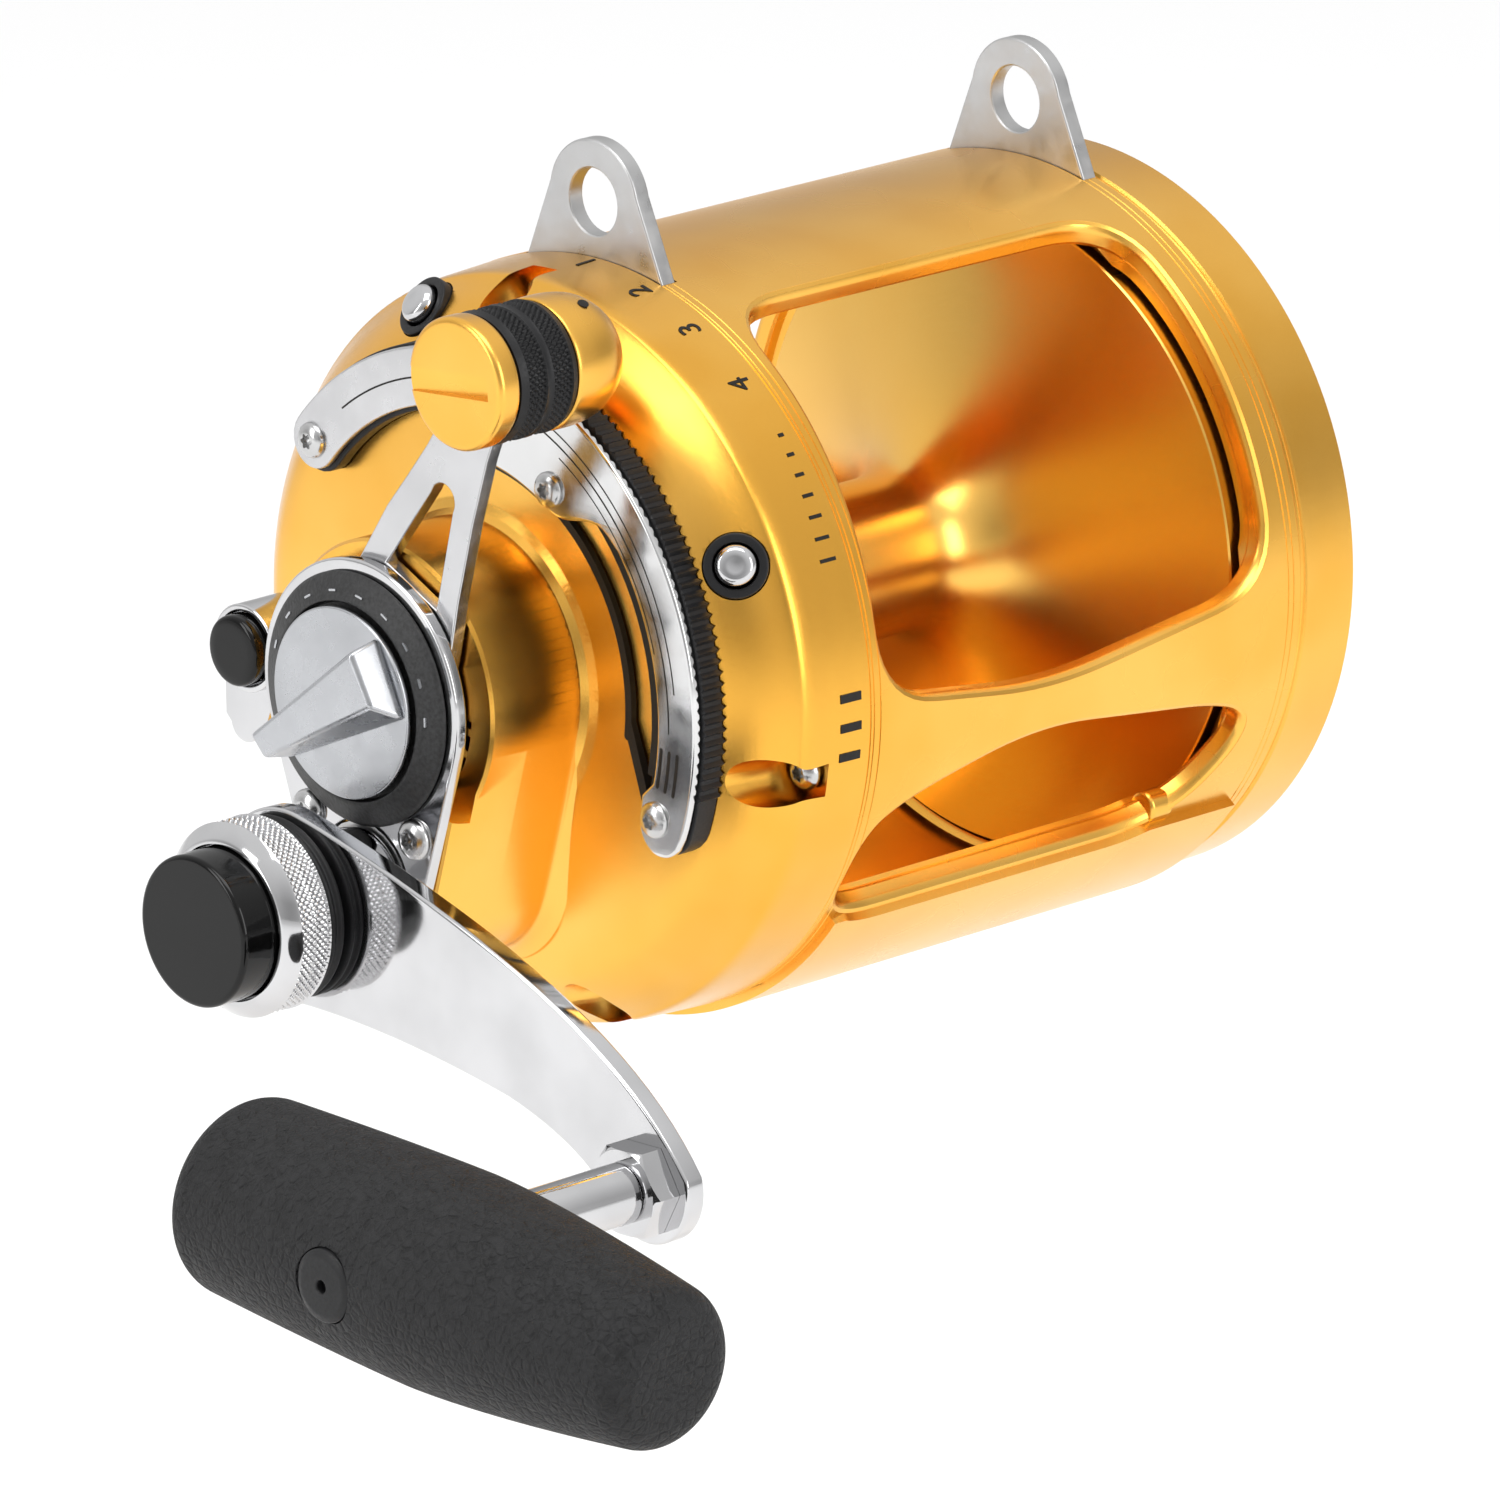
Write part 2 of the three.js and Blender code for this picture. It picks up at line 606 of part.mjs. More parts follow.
function buildLever(reel) {
  const lever = new THREE.Group();
  lever.rotation.x = rad(LEVER_ANGLE);
  reel.add(lever);
  place(lever, 'drag_lever', slab(leverOutline(), LEVER_BACK, LEVER_FRONT, 12), chrome);

  const cam = turned([
    [30, 9], [30, 15.6], [33.5, 15.6], [36, 10.9], [LEVER_BACK - 0.1, 10.9],
    [LEVER_BACK - 0.1, 8.5], [36, 8.5], [36, 9], [30, 9],
  ], 20);
  place(lever, 'drag_cam', cam, steel);

  const knob = new THREE.Group();
  knob.position.y = KNOB_REACH;
  lever.add(knob);
  const body = turned([
    [KNOB_BACK, 0], [KNOB_BACK + 0.7, 4.4], [KNOB_BACK + 3, 7.9], [KNOB_BACK + 6.5, 10],
    [KNOB_BACK + 10, KNOB_RADIUS], [39, KNOB_RADIUS], [39, 4], [50.9, 4], [50.9, 0],
  ], 24);
  place(knob, 'lever_knob_body', body, gold);
  const sleeve = ring(39.1, 50.8, 4.2, KNOB_RADIUS - 0.2, 24);
  const tongue = join(
    rod(LEVER_BACK - 0.2, LEVER_FRONT + 0.2, 8.1, 0, 0, 24),
    box(LEVER_BACK - 0.2, LEVER_FRONT + 0.2, -14, -4, -7.4, 7.4),
  );
  place(knob, 'lever_knob_sleeve', cut(sleeve, tongue), black);
  const cap = turned([[51, 0], [51, 10.4], [54.8, 10.4], [KNOB_FRONT, 9.9], [KNOB_FRONT, 0]], 24);
  const slot = box(53.2, 57, -12, 4, -1.8, 1.8);
  place(knob, 'lever_knob_cap', cut(cap, slot), gold);
}

// --------------------------------------------------- click lever at the rear

function buildClickLever(reel) {
  const lever = new THREE.Group();
  lever.position.set(0, ...CLICK_PIVOT);
  reel.add(lever);
  const [x0, x1] = CLICK_HUB;
  const hub = rod(x0 + 1, x1, 7.2, 0, 0, 20);
  const stem = rod(17, x0 + 2, 5.3, 0, 0, 24);
  const finger = outline([
    [-7.1, -1], [7.1, -1], [4.4, -14.8], [2.6, -16.6], [-2.6, -16.6], [-4.4, -14.8],
  ]);
  const well = rod(x1 - 5, x1 + 1, 6.1, 0, 0, 20);
  const body = cut(join(hub, stem, slab(finger, x0 + 1.6, x1 - 2)), well);
  place(lever, 'click_lever', body, chrome);
  const cap = turned([[x1 - 1.5, 0], [x1 - 1.5, 5.8], [x1 + 1.6, 5.8], [x1 + 2.6, 4.9],
    [x1 + 2.6, 0]], 20);
  place(lever, 'click_lever_button', cap, gloss);
}

// ------------------------------------------------------------ left side plate

function buildLeftPlate(reel) {
  const seam = -FRAME_LENGTH;
  const plate = turned([
    [seam - 0.05, 12], [seam - 0.05, REEL_RADIUS - 0.6], [seam - 1, REEL_RADIUS],
    [LEFT_RIM + 1.2, REEL_RADIUS - 0.3], [LEFT_RIM, REEL_RADIUS - 1.4],
    [LEFT_RIM - 1.6, REEL_RADIUS - 5], [LEFT_RIM - 1.6, 47], [LEFT_RIM + 1, 43],
    [LEFT_RIM + 1, 24], [LEFT_RIM - 4, 19], [LEFT_RIM - 4, 12], [seam - 0.05, 12],
  ], 32);
  const pocket = ring(seam - 9, seam + 1, 11, 44, 28);
  const screws = [92, -10, -73, -152, 170].map((a) => rod(LEFT_RIM - 3, LEFT_RIM + 4, 3.4,
    ...polar(56.6, a), 12));
  const clickSlot = box(LEFT_RIM - 3, seam + 1, -CLICK_SLIDE - 4, -CLICK_SLIDE + 4, -4.2, 4.2);
  const lugCut = lugSeat('left_harness_lug');
  place(reel, 'left_side_plate', cut(plate, pocket, clickSlot, ...screws, lugCut), gold);

  const cap = turned([
    [-117, 0], [-117, 13], [-115.8, 14.6], [-113.4, 14.6], [-113.4, 11.7], [-106, 11.7],
    [-106, 9.4], [-108, 9.4], [-108, SHAFT_RADIUS + FIT], [-113.8, SHAFT_RADIUS + FIT],
    [-113.8, 0],
  ], 24);
  place(reel, 'left_bearing_cap', cap, gold);
}

function buildClicker(reel) {
  const [back, front] = [-CLICK_SLIDE - 1.4, -CLICK_SLIDE + 1.4];
  const stem = box(-112.6, -101, back, front, -3, 3);
  const thumb = rod(-115.4, -111.2, 4.2, -CLICK_SLIDE, 0, 20);
  const tongue = box(-103.6, -101, back, front + 3.8, -1.2, 1.2);
  place(reel, 'click_button', join(stem, thumb, tongue), black);
}

// --------------------------------------------------------------------- spool

function buildSpool(reel) {
  const flare = [];
  const steps = 4;
  const waist = 30;
  for (let i = 0; i <= steps; i += 1) {
    const t = i / steps;
    const x = -2.2 - (waist - 2.2) * t;
    const drop = (SPOOL_RIM - SPOOL_ARBOR) * (1 - (1 - t) ** 2.6);
    flare.push([x, SPOOL_RIM - drop]);
  }
  const middle = (SPOOL_RIGHT + SPOOL_LEFT) / 2;
  const other = flare.map(([x, r]) => [2 * middle - x, r]).reverse();
  const spool = turned([
    [SPOOL_RIGHT, 46], [SPOOL_RIGHT, SPOOL_RIM], ...flare, ...other, [SPOOL_LEFT, SPOOL_RIM],
    [SPOOL_LEFT, 48], [-87.4, 44], [-78, 24], [-70, 15], [-70, 11.2], [-62, 11.2], [-62, 5],
    [-28, 5], [-28, 11.2], [-20, 11.2], [-20, 15], [-12, 24], [-3.4, 42], [-1.4, 46],
    [SPOOL_RIGHT, 46],
  ], 28);
  const pinHole = rod(-49.6, -47, 3, 0, SPOOL_ARBOR, 8);
  place(reel, 'spool', cut(spool, pinHole), gold);

  const bearing = (x) => ring(x, x + 7, SHAFT_RADIUS + FIT, 11, 24);
  place(reel, 'spool_bearing_left', bearing(-69.6), steel);
  place(reel, 'spool_bearing_right', bearing(-27.6), steel);
  place(reel, 'drag_washer', ring(-1.2, 3.4, 28, 41.5, 32), carbon);
  const pin = new THREE.CylinderGeometry(1.2, 1.2, 5, 10);
  pin.rotateX(Math.PI / 2);
  pin.translate(-48.3, 0, SPOOL_ARBOR + 1);
  place(reel, 'line_pin', solid(pin), brass);

  const teeth = [];
  for (let i = 0; i < 24; i += 1) teeth.push(polar(i % 2 ? 20.6 : 23.4, 15 * i));
  const wheel = slab(outline(teeth), -103.4, -101.2);
  const neck = rod(-103, -70.3, 8.6, 0, 0, 24);
  place(reel, 'click_ratchet', cut(join(wheel, neck), rod(-110, -60, 4.4)), steel);
}

// --------------------------------------------------------------- drive train

function buildDrive(reel) {
  const teeth = [];
  const count = 20;
  for (let i = 0; i < count; i += 1) {
    const angle = 360 * i / count;
    teeth.push(polar(48.8, angle), polar(45.6, angle + 2), polar(47.2, angle + 10));
  }
  const wheel = slab(outline(teeth), 3.7, 6.6);
  place(reel, 'drive_plate', cut(wheel, rod(0, 10, 6.3)), steel);

  const facing = 90;
  const halfTooth = 180 / HIGH_PINION_TEETH;
  const high = gear(HIGH_PINION_TEETH, -facing + halfTooth, 8, 12.5);
  const low = gear(LOW_PINION_TEETH, -facing + 180 / LOW_PINION_TEETH, 13.5, 17.5);
  const sleeve = join(rod(3.8, 26, 6.1, 0, 0, 20), rod(6.7, 17, 6.9, 0, 0, 20));
  place(reel, 'pinion', cut(join(high, low, sleeve), rod(0, 30, 4.2)), steel);
  place(reel, 'pinion_bearing', ring(22, 27.6, 6.3, 16.2, 28), steel);
  place(reel, 'spool_shaft', rod(-113.4, 38, SHAFT_RADIUS, 0, 0, 20), steel);
  const springs = turned([
    [28, 4.3], [28, 8], [29.4, 8.6], [30.8, 8], [30.8, 7.6], [29.6, 7.2], [29.6, 4.3], [28, 4.3],
  ], 24);
  place(reel, 'belleville_washer', springs, steel);

  const dog = join(
    slab(outline([[-2.1, 0], [2.1, 0], [1.2, 9], [-1.1, 8.2]]), 3.9, 6.5),
    rod(3.9, 13.2, 2.1, 0, 0, 12),
  );
  const geometry = surface(dog);
  geometry.rotateX(rad(DOG_TURN));
  geometry.translate(0, ...polar(DOG_REACH, DOG_ANGLE));
  place(reel, 'ratchet_dog', solid(geometry), steel);
}

// -------------------------------------------------------------------- handle

function armShape() {
  const shape = new THREE.Shape();
  shape.moveTo(-2, 15.6);
  shape.absarc(0, 0, 15.6, rad(96), rad(300));
  shape.quadraticCurveTo(28, -6.4, 54, -2.8);
  shape.quadraticCurveTo(70, -1.6, 78, -6);
  shape.absarc(CRANK, 0, 9.3, rad(218), rad(395));
  shape.quadraticCurveTo(76, 17.4, 40, 17.8);
  shape.closePath();
  shape.holes.push(new THREE.Path().absarc(0, 0, 6.2, 0, 2 * Math.PI, true));
  shape.holes.push(new THREE.Path().absarc(CRANK, 0, 3.6, 0, 2 * Math.PI, true));
  return shape;
}

function buildHandle(reel) {
  const handle = new THREE.Group();
  handle.position.z = -HANDLE_DROP;
  reel.add(handle);

  const shaft = cut(rod(7.6, 72.9, 6, 0, 0, 24), rod(20, 80, 2, 0, 0, 12));
  place(handle, 'handle_shaft', shaft, steel);
  const highMain = gear(HIGH_MAIN_TEETH, 90, 8, 12.5);
  const lowMain = gear(LOW_MAIN_TEETH, 90, 13.5, 17.5);
  place(handle, 'high_main_gear', cut(highMain, rod(0, 20, 6.3)), steel);
  place(handle, 'low_main_gear', cut(lowMain, rod(0, 20, 6.3)), brass);
  place(handle, 'handle_bearing_inner', ring(22, 28.8, 6.2, 10, 24), steel);
  place(handle, 'handle_bearing_outer', ring(44, 51.2, 6.2, 10, 24), steel);
  place(handle, 'handle_collar', ring(51.6, ARM_BACK - 0.1, 6.2, 9.5, 24), chrome);
  const seal = turned([
    [ARM_FRONT + 0.1, 6.2], [ARM_FRONT + 0.1, 13.6], [68.8, 14.7], [70.4, 14.7], [71.5, 14],
    [71.5, 6.2], [ARM_FRONT + 0.1, 6.2],
  ], 24);
  place(handle, 'handle_seal', seal, rubber);
  const hub = turned([
    [71.6, 6.2], [71.6, 15.2], [72, 15.5], [78.1, 15.5], [HUB_FRONT, 13.1], [HUB_FRONT, 12.4],
    [73.1, 12.4], [73.1, 6.2], [71.6, 6.2],
  ], 28);
  place(handle, 'handle_hub', hub, chrome);
  const button = turned([
    [24, 0], [24, 1.8], [76.4, 1.8], [76.4, 12.1], [BUTTON_FRONT - 0.8, 12.1],
    [BUTTON_FRONT, 11.3], [BUTTON_FRONT, 0],
  ], 24);
  place(handle, 'shift_button', button, gloss);

  const crank = new THREE.Group();
  crank.rotation.x = rad(CRANK_ANGLE);
  handle.add(crank);
  place(crank, 'handle_arm', slab(armShape(), ARM_BACK, ARM_FRONT, 10), chrome);
  buildGrip(crank);
}

function buildGrip(crank) {
  const post = new THREE.Group();
  post.position.y = CRANK;
  crank.add(post);
  const hex = [];
  for (let i = 0; i < 6; i += 1) hex.push(polar(7.6, 60 * i + 20));
  const nut = cut(slab(outline(hex), ARM_FRONT + 0.05, 72.6), rod(60, 80, 3.6, 0, 0, 16));
  place(post, 'grip_nut', nut, chrome);
  const spindle = turned([
    [ARM_BACK, 0], [ARM_BACK, 3.4], [72.7, 3.4], [72.7, 4.8], [99.2, 4.8], [99.2, 3.9],
    [130, 3.9], [130, 0],
  ], 20);
  place(post, 'grip_spindle', spindle, chrome);

  const grip = new THREE.Group();
  grip.rotation.x = rad(GRIP_TILT - CRANK_ANGLE);
  post.add(grip);
  const [back, front] = GRIP_REACH;
  const length = front - back;
  const profile = [[back, 0]];
  const steps = 10;
  for (let i = 0; i <= steps; i += 1) {
    const along = back + length * (0.5 - 0.5 * Math.cos(Math.PI * i / steps));
    const share = 2 * (along - back) / length - 1;
    const narrow = (1 - GRIP_ENDS[share < 0 ? 0 : 1]) * Math.abs(share) ** 1.5;
    const edge = Math.max(0, 1 - Math.min(along - back, front - along) / GRIP_EDGE);
    profile.push([along, GRIP_RADIUS * (1 - narrow) - GRIP_EDGE * (1 - Math.sqrt(1 - edge ** 2))]);
  }
  profile.push([front, 0]);
  const barrel = surface(turned(profile, 18));
  barrel.rotateZ(Math.PI / 2);
  barrel.translate(GRIP_AXIS_X, 0, 0);
  const bore = rod(95, 131.4, 4.2, 0, 0, 20);
  const seat = rod(130.4, 140, 5.9, 0, 0, 24);
  place(grip, 'grip', cut(solid(barrel), bore, seat), rubber);
  place(grip, 'grip_plug', rod(130.8, 133.6, 5.7, 0, 0, 24), black);
}

// ------------------------------------------------------------------ assembly

const group = new THREE.Group();
const reel = new THREE.Group();
reel.position.set(FRAME_LENGTH / 2, 0, PAD_DEPTH);
group.add(reel);

buildFrame(reel);
buildLugs(reel);
buildRightPlate(reel);
buildPlateScrews(reel);
buildQuadrant(reel);
buildStops(reel);
buildBridge(reel);
buildPreset(reel);
buildLever(reel);
buildClickLever(reel);
buildLeftPlate(reel);
buildClicker(reel);
buildSpool(reel);
buildDrive(reel);
buildHandle(reel);

export default group;
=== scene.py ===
"""Looks of a two-speed lever-drag trolling reel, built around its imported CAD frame.

Shapes are drawn in the reel's own millimetres: X along the spool axis with 0 at the seam
between frame and right side plate, Y to the front, Z up, with the spool axis at Y = Z = 0.
"""

import json
import math

import bmesh
import bpy
from mathutils import Matrix, Vector


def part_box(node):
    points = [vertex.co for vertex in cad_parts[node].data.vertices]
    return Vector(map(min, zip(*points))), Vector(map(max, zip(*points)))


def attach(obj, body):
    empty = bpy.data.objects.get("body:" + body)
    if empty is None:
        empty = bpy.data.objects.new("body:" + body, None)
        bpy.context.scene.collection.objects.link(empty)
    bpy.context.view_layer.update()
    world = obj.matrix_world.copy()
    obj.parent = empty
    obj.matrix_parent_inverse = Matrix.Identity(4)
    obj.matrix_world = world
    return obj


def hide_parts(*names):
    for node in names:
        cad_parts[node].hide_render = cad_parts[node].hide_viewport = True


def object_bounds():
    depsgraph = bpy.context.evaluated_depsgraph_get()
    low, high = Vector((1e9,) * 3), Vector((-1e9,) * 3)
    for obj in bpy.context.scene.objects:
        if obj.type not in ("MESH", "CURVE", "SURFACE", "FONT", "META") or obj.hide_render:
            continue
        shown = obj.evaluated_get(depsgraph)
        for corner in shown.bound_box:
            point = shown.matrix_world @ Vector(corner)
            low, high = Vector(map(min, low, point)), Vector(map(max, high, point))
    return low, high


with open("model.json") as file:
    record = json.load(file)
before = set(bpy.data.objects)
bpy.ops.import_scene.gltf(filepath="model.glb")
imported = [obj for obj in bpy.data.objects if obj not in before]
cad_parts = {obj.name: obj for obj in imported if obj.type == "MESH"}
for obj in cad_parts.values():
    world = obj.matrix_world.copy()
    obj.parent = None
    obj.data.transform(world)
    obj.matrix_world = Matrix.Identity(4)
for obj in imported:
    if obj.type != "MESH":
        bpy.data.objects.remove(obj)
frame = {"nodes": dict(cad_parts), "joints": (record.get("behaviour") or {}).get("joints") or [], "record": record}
CAD_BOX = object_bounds()
JOINTS = {joint["name"]: joint for joint in frame["joints"]}

# ---- places

MM = 0.001
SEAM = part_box("right_side_plate")[0].x
SPOOL_Z = JOINTS["spool_spin"]["pos_m"][2]
HANDLE_Z = JOINTS["handle_crank"]["pos_m"][2]
HANDLE_DROP = (SPOOL_Z - HANDLE_Z) / MM
POST = JOINTS["grip_spin"]["pos_m"]
CRANK = math.hypot(POST[1], POST[2] - HANDLE_Z) / MM
CRANK_ANGLE = math.atan2(POST[2] - HANDLE_Z, POST[1])


def middle(node):
    low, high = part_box(node)
    return (low + high) / 2


KNOB_MIDDLE = middle("lever_knob_cap")
LEVER_ANGLE = math.atan2(KNOB_MIDDLE.z - SPOOL_Z, KNOB_MIDDLE.y)
KNOB_REACH = math.hypot(KNOB_MIDDLE.y, KNOB_MIDDLE.z - SPOOL_Z) / MM
GRIP_TILT = math.radians(-4)


def turn(angle, axis="X"):
    return Matrix.Rotation(angle, 4, axis)


def move(x=0.0, y=0.0, z=0.0):
    return Matrix.Translation((x, y, z))


REEL = Matrix.Translation((SEAM, 0, SPOOL_Z)) @ Matrix.Scale(MM, 4)
HANDLE = REEL @ move(z=-HANDLE_DROP)
ARM = HANDLE @ turn(CRANK_ANGLE)
END = ARM @ move(y=CRANK)
GRIP = END @ turn(GRIP_TILT - CRANK_ANGLE)
LEVER = REEL @ turn(LEVER_ANGLE)
KNOB = LEVER @ move(y=KNOB_REACH)

# ---- dimensions

RADIUS = 61.0
LENGTH = 96.3
WALL = 4.5
PAD_DEPTH = SPOOL_Z / MM
LEFT_RIM = -109.2
BAND_WIDTH = 14.2
FACE = 23.4
BOSS_RADIUS = 24.1
BOSS_FRONT = 45.5
BRIDGE_BACK = 49.0
BRIDGE_FRONT = 51.3
ARM_BACK = 64.2
ARM_FRONT = 67.9
HUB_FRONT = 80.3
BUTTON_FRONT = 87.0
GRIP_AXIS_X = (POST[0] - SEAM) / MM
LEVER_BACK = 46.0
LEVER_FRONT = 48.7
QUADRANT_TOP = 26.8
PLATE_TOP = 28.4
QUADRANT_RADIUS = 52.2
SCREW_ANGLES = (92, -10, -73, -152)
SCREW_CIRCLE = 56.4
QUADRANT_SCREWS = ((46.5, 139), (37.9, 59), (45, -21))
STOP_SEAT = (18.6, 56.2)
STOPS = {"strike": (25.5, 48), "free_spool": (109.5, 38)}
BRIDGE_SCREW = (12.2, -20.4)
CLICK_PIVOT = (-45.8, -4.4)
LUG_PLACES = {"right_harness_lug": -3.1, "left_harness_lug": -LENGTH + 0.1}
LUG_CENTRE = 69.8
LUG_THICKNESS = 3
LUG_PLAY = 0.2
WINDOW_CORNER = 12
WINDOW_STEP = 2.5
DIAL_NUMBERS = (("1", 2.6, 88.8), ("2", 4.2, 75.7), ("3", 4.3, 64.4), ("4", 4.1, 52.1))
NUMERAL_SIZE = 5.6
MARK_DEPTH = 0.06
MARK_LIFT = 0.05
SCALE_MARK = (PLATE_TOP - 0.05, PLATE_TOP + 0.02)
LEFT_SCREW_CIRCLE = 56.6

ROUND = 160
FINE_ROUND = ROUND + 32

# ---- mesh helpers


def link(obj):
    bpy.context.scene.collection.objects.link(obj)
    return obj


def mesh_of(verts, faces):
    """Mesh with its faces turned outwards."""
    mesh = bpy.data.meshes.new("shape")
    mesh.from_pydata(verts, [], faces)
    return tidy(mesh, 1e-5)


def tidy(mesh, distance):
    """Merges doubled points and turns the faces outwards."""
    bm = bmesh.new()
    bm.from_mesh(mesh)
    bmesh.ops.remove_doubles(bm, verts=bm.verts, dist=distance)
    bmesh.ops.dissolve_degenerate(bm, edges=bm.edges, dist=distance)
    bmesh.ops.recalc_face_normals(bm, faces=bm.faces)
    bm.to_mesh(mesh)
    bm.free()
    return mesh


def evaluated(data, modifiers=()):
    """Mesh of a curve, text or mesh after the modifiers, each a kind and its settings."""
    obj = link(bpy.data.objects.new("work", data))
    for kind, settings in modifiers:
        modifier = obj.modifiers.new(kind, kind)
        for name, value in settings.items():
            setattr(modifier, name, value)
    depsgraph = bpy.context.evaluated_depsgraph_get()
    result = bpy.data.meshes.new_from_object(obj.evaluated_get(depsgraph))
    bpy.data.objects.remove(obj)
    return result


def boolean(operation, mesh, tools):
    objects = [link(bpy.data.objects.new("tool", tool)) for tool in tools]
    steps = [("BOOLEAN", {"operation": operation, "object": obj}) for obj in objects]
    result = evaluated(mesh, steps)
    for obj in objects:
        bpy.data.objects.remove(obj)
    return tidy(result, 1e-4)


def cut(mesh, *tools):
    return boolean("DIFFERENCE", mesh, tools)


def join(mesh, *tools):
    return boolean("UNION", mesh, tools)


def soften(mesh, width, angle, segments=2):
    """Rounds every edge that is sharper than the angle."""
    settings = {"width": width, "limit_method": "ANGLE", "segments": segments}
    settings["angle_limit"] = math.radians(angle)
    return evaluated(mesh, [("BEVEL", settings)])


def placed(mesh, matrix):
    copy = mesh.copy()
    copy.transform(matrix)
    return copy


def polar(radius, degrees):
    angle = math.radians(degrees)
    return (radius * math.cos(angle), radius * math.sin(angle))


def arc(radius, start, end, y=0.0, z=0.0, step=4.0):
    """Points on an arc, in degrees."""
    count = max(2, math.ceil(abs(end - start) / step))
    points = []
    for i in range(count + 1):
        u, v = polar(radius, start + (end - start) * i / count)
        points.append((y + u, z + v))
    return points


def rounded(points, reach, closed=False, steps=4):
    """Rounds each corner of a path, over at most `reach` along both sides."""
    count = len(points)
    result = []
    for i, corner in enumerate(points):
        if not closed and i in (0, count - 1):
            result.append(tuple(corner))
            continue
        here = Vector(corner)
        before = Vector(points[i - 1]) - here
        after = Vector(points[(i + 1) % count]) - here
        start = here + before * min(reach / before.length, 0.45)
        end = here + after * min(reach / after.length, 0.45)
        for k in range(steps + 1):
            t = k / steps
            point = start * (1 - t) ** 2 + here * 2 * t * (1 - t) + end * t * t
            result.append(tuple(point))
    return result


def turned(profile, segments=ROUND, reach=0.0, shape=None):
    """Turned solid about X from (x, radius) points, closed on itself or on the axis."""
    closed = profile[0][1] > 0
    if reach:
        profile = rounded(profile, reach, closed)
    verts, rows, faces = [], [], []
    for x, r in profile:
        if r < 1e-6:
            rows.append([len(verts)] * segments)
            verts.append((x, 0, 0))
            continue
        rows.append(list(range(len(verts), len(verts) + segments)))
        for i in range(segments):
            angle = 2 * math.pi * i / segments
            radius = shape(x, r, angle) if shape else r
            verts.append((x, radius * math.cos(angle), radius * math.sin(angle)))
    pairs = list(zip(rows, rows[1:]))
    if closed:
        pairs.append((rows[-1], rows[0]))
    for a, b in pairs:
        for i in range(segments):
            j = (i + 1) % segments
            face = dict.fromkeys((a[i], b[i], b[j], a[j]))
            if len(face) > 2:
                faces.append(tuple(face))
    return mesh_of(verts, faces)


def rod(x0, x1, radius, y=0.0, z=0.0, segments=48, edge=0.0):
    profile = [(x0, 0), (x0, radius), (x1, radius), (x1, 0)]
    return placed(turned(profile, segments, edge), move(0, y, z))


def box(x0, x1, y0, y1, z0, z1):
    corners = [(x, y, z) for x in (x0, x1) for y in (y0, y1) for z in (z0, z1)]
    sides = [
        (0, 1, 3, 2), (4, 6, 7, 5), (0, 4, 5, 1), (2, 3, 7, 6), (0, 2, 6, 4), (1, 5, 7, 3),
    ]
    return mesh_of(corners, sides)


def skinned(verts, count):
    """Solid through rings of `count` points each, closed at both ends."""
    faces = [tuple(range(count)), tuple(range(len(verts) - count, len(verts)))]
    for first in range(0, len(verts) - count, count):
        for i in range(count):
            j = (i + 1) % count
            faces.append((first + i, first + j, first + count + j, first + count + i))
    return mesh_of(verts, faces)


def prism(points, z0, z1):
    """Straight solid along Z from (x, y) points."""
    return skinned([(x, y, z) for z in (z0, z1) for x, y in points], len(points))


def slab(outlines, x0, x1, edge=0.0):
    """Plate from x0 to x1 with rounded edges; the outlines after the first are holes."""
    curve = bpy.data.curves.new("outline", "CURVE")
    curve.dimensions = "2D"
    curve.fill_mode = "BOTH"
    curve.extrude = (x1 - x0) / 2 - edge
    curve.bevel_depth = edge
    curve.bevel_resolution = 2
    curve.offset = -edge
    for outline in outlines:
        spline = curve.splines.new("POLY")
        spline.points.add(len(outline) - 1)
        for point, (y, z) in zip(spline.points, outline):
            point.co = (y, z, 0, 1)
        spline.use_cyclic_u = True
    mesh = evaluated(curve)
    stand = Matrix(((0, 0, 1, (x0 + x1) / 2), (1, 0, 0, 0), (0, 1, 0, 0), (0, 0, 0, 1)))
    mesh.transform(stand)
    return tidy(mesh, 1e-4)


def band(inner, outer, start, end):
    """Outline of a ring sector with round ends, in degrees."""
    half = (outer - inner) / 2
    points = arc(outer, start, end, step=2)
    points += arc(half, end, end + 180, *polar(inner + half, end), step=15)[1:-1]
    points += arc(inner, end, start, step=2)
    points += arc(half, start + 180, start + 360, *polar(inner + half, start), step=15)[1:-1]
    return points


def teardrop(top, bottom):
    """Round outline at the spool axis, tapering to a round one at the handle axis."""
    lean = math.degrees(math.asin((top - bottom) / HANDLE_DROP))
    points = arc(top, -lean, 180 + lean)
    return points + arc(bottom, 180 + lean, 360 - lean, 0, -HANDLE_DROP)


def loft(sections):
    """Solid through sections, each an x and an outline of as many points."""
    verts = [(x, y, z) for x, outline in sections for y, z in outline]
    return skinned(verts, len(sections[0][1]))


def add(name, mesh, place, body, look, replaces=(), sharp=33):
    """Puts a finished shape into the scene as a piece that moves with a body."""
    mesh.transform(place)
    mesh.materials.clear()
    mesh.materials.append(look)
    mesh.shade_smooth()
    mesh.set_sharp_from_angle(angle=math.radians(sharp))
    mesh = evaluated(mesh, [("WEIGHTED_NORMAL", {"keep_sharp": True, "weight": 100})])
    mesh.name = name
    obj = link(bpy.data.objects.new(name, mesh))
    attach(obj, body)
    if replaces:
        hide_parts(*replaces)
    return obj


# ---- materials


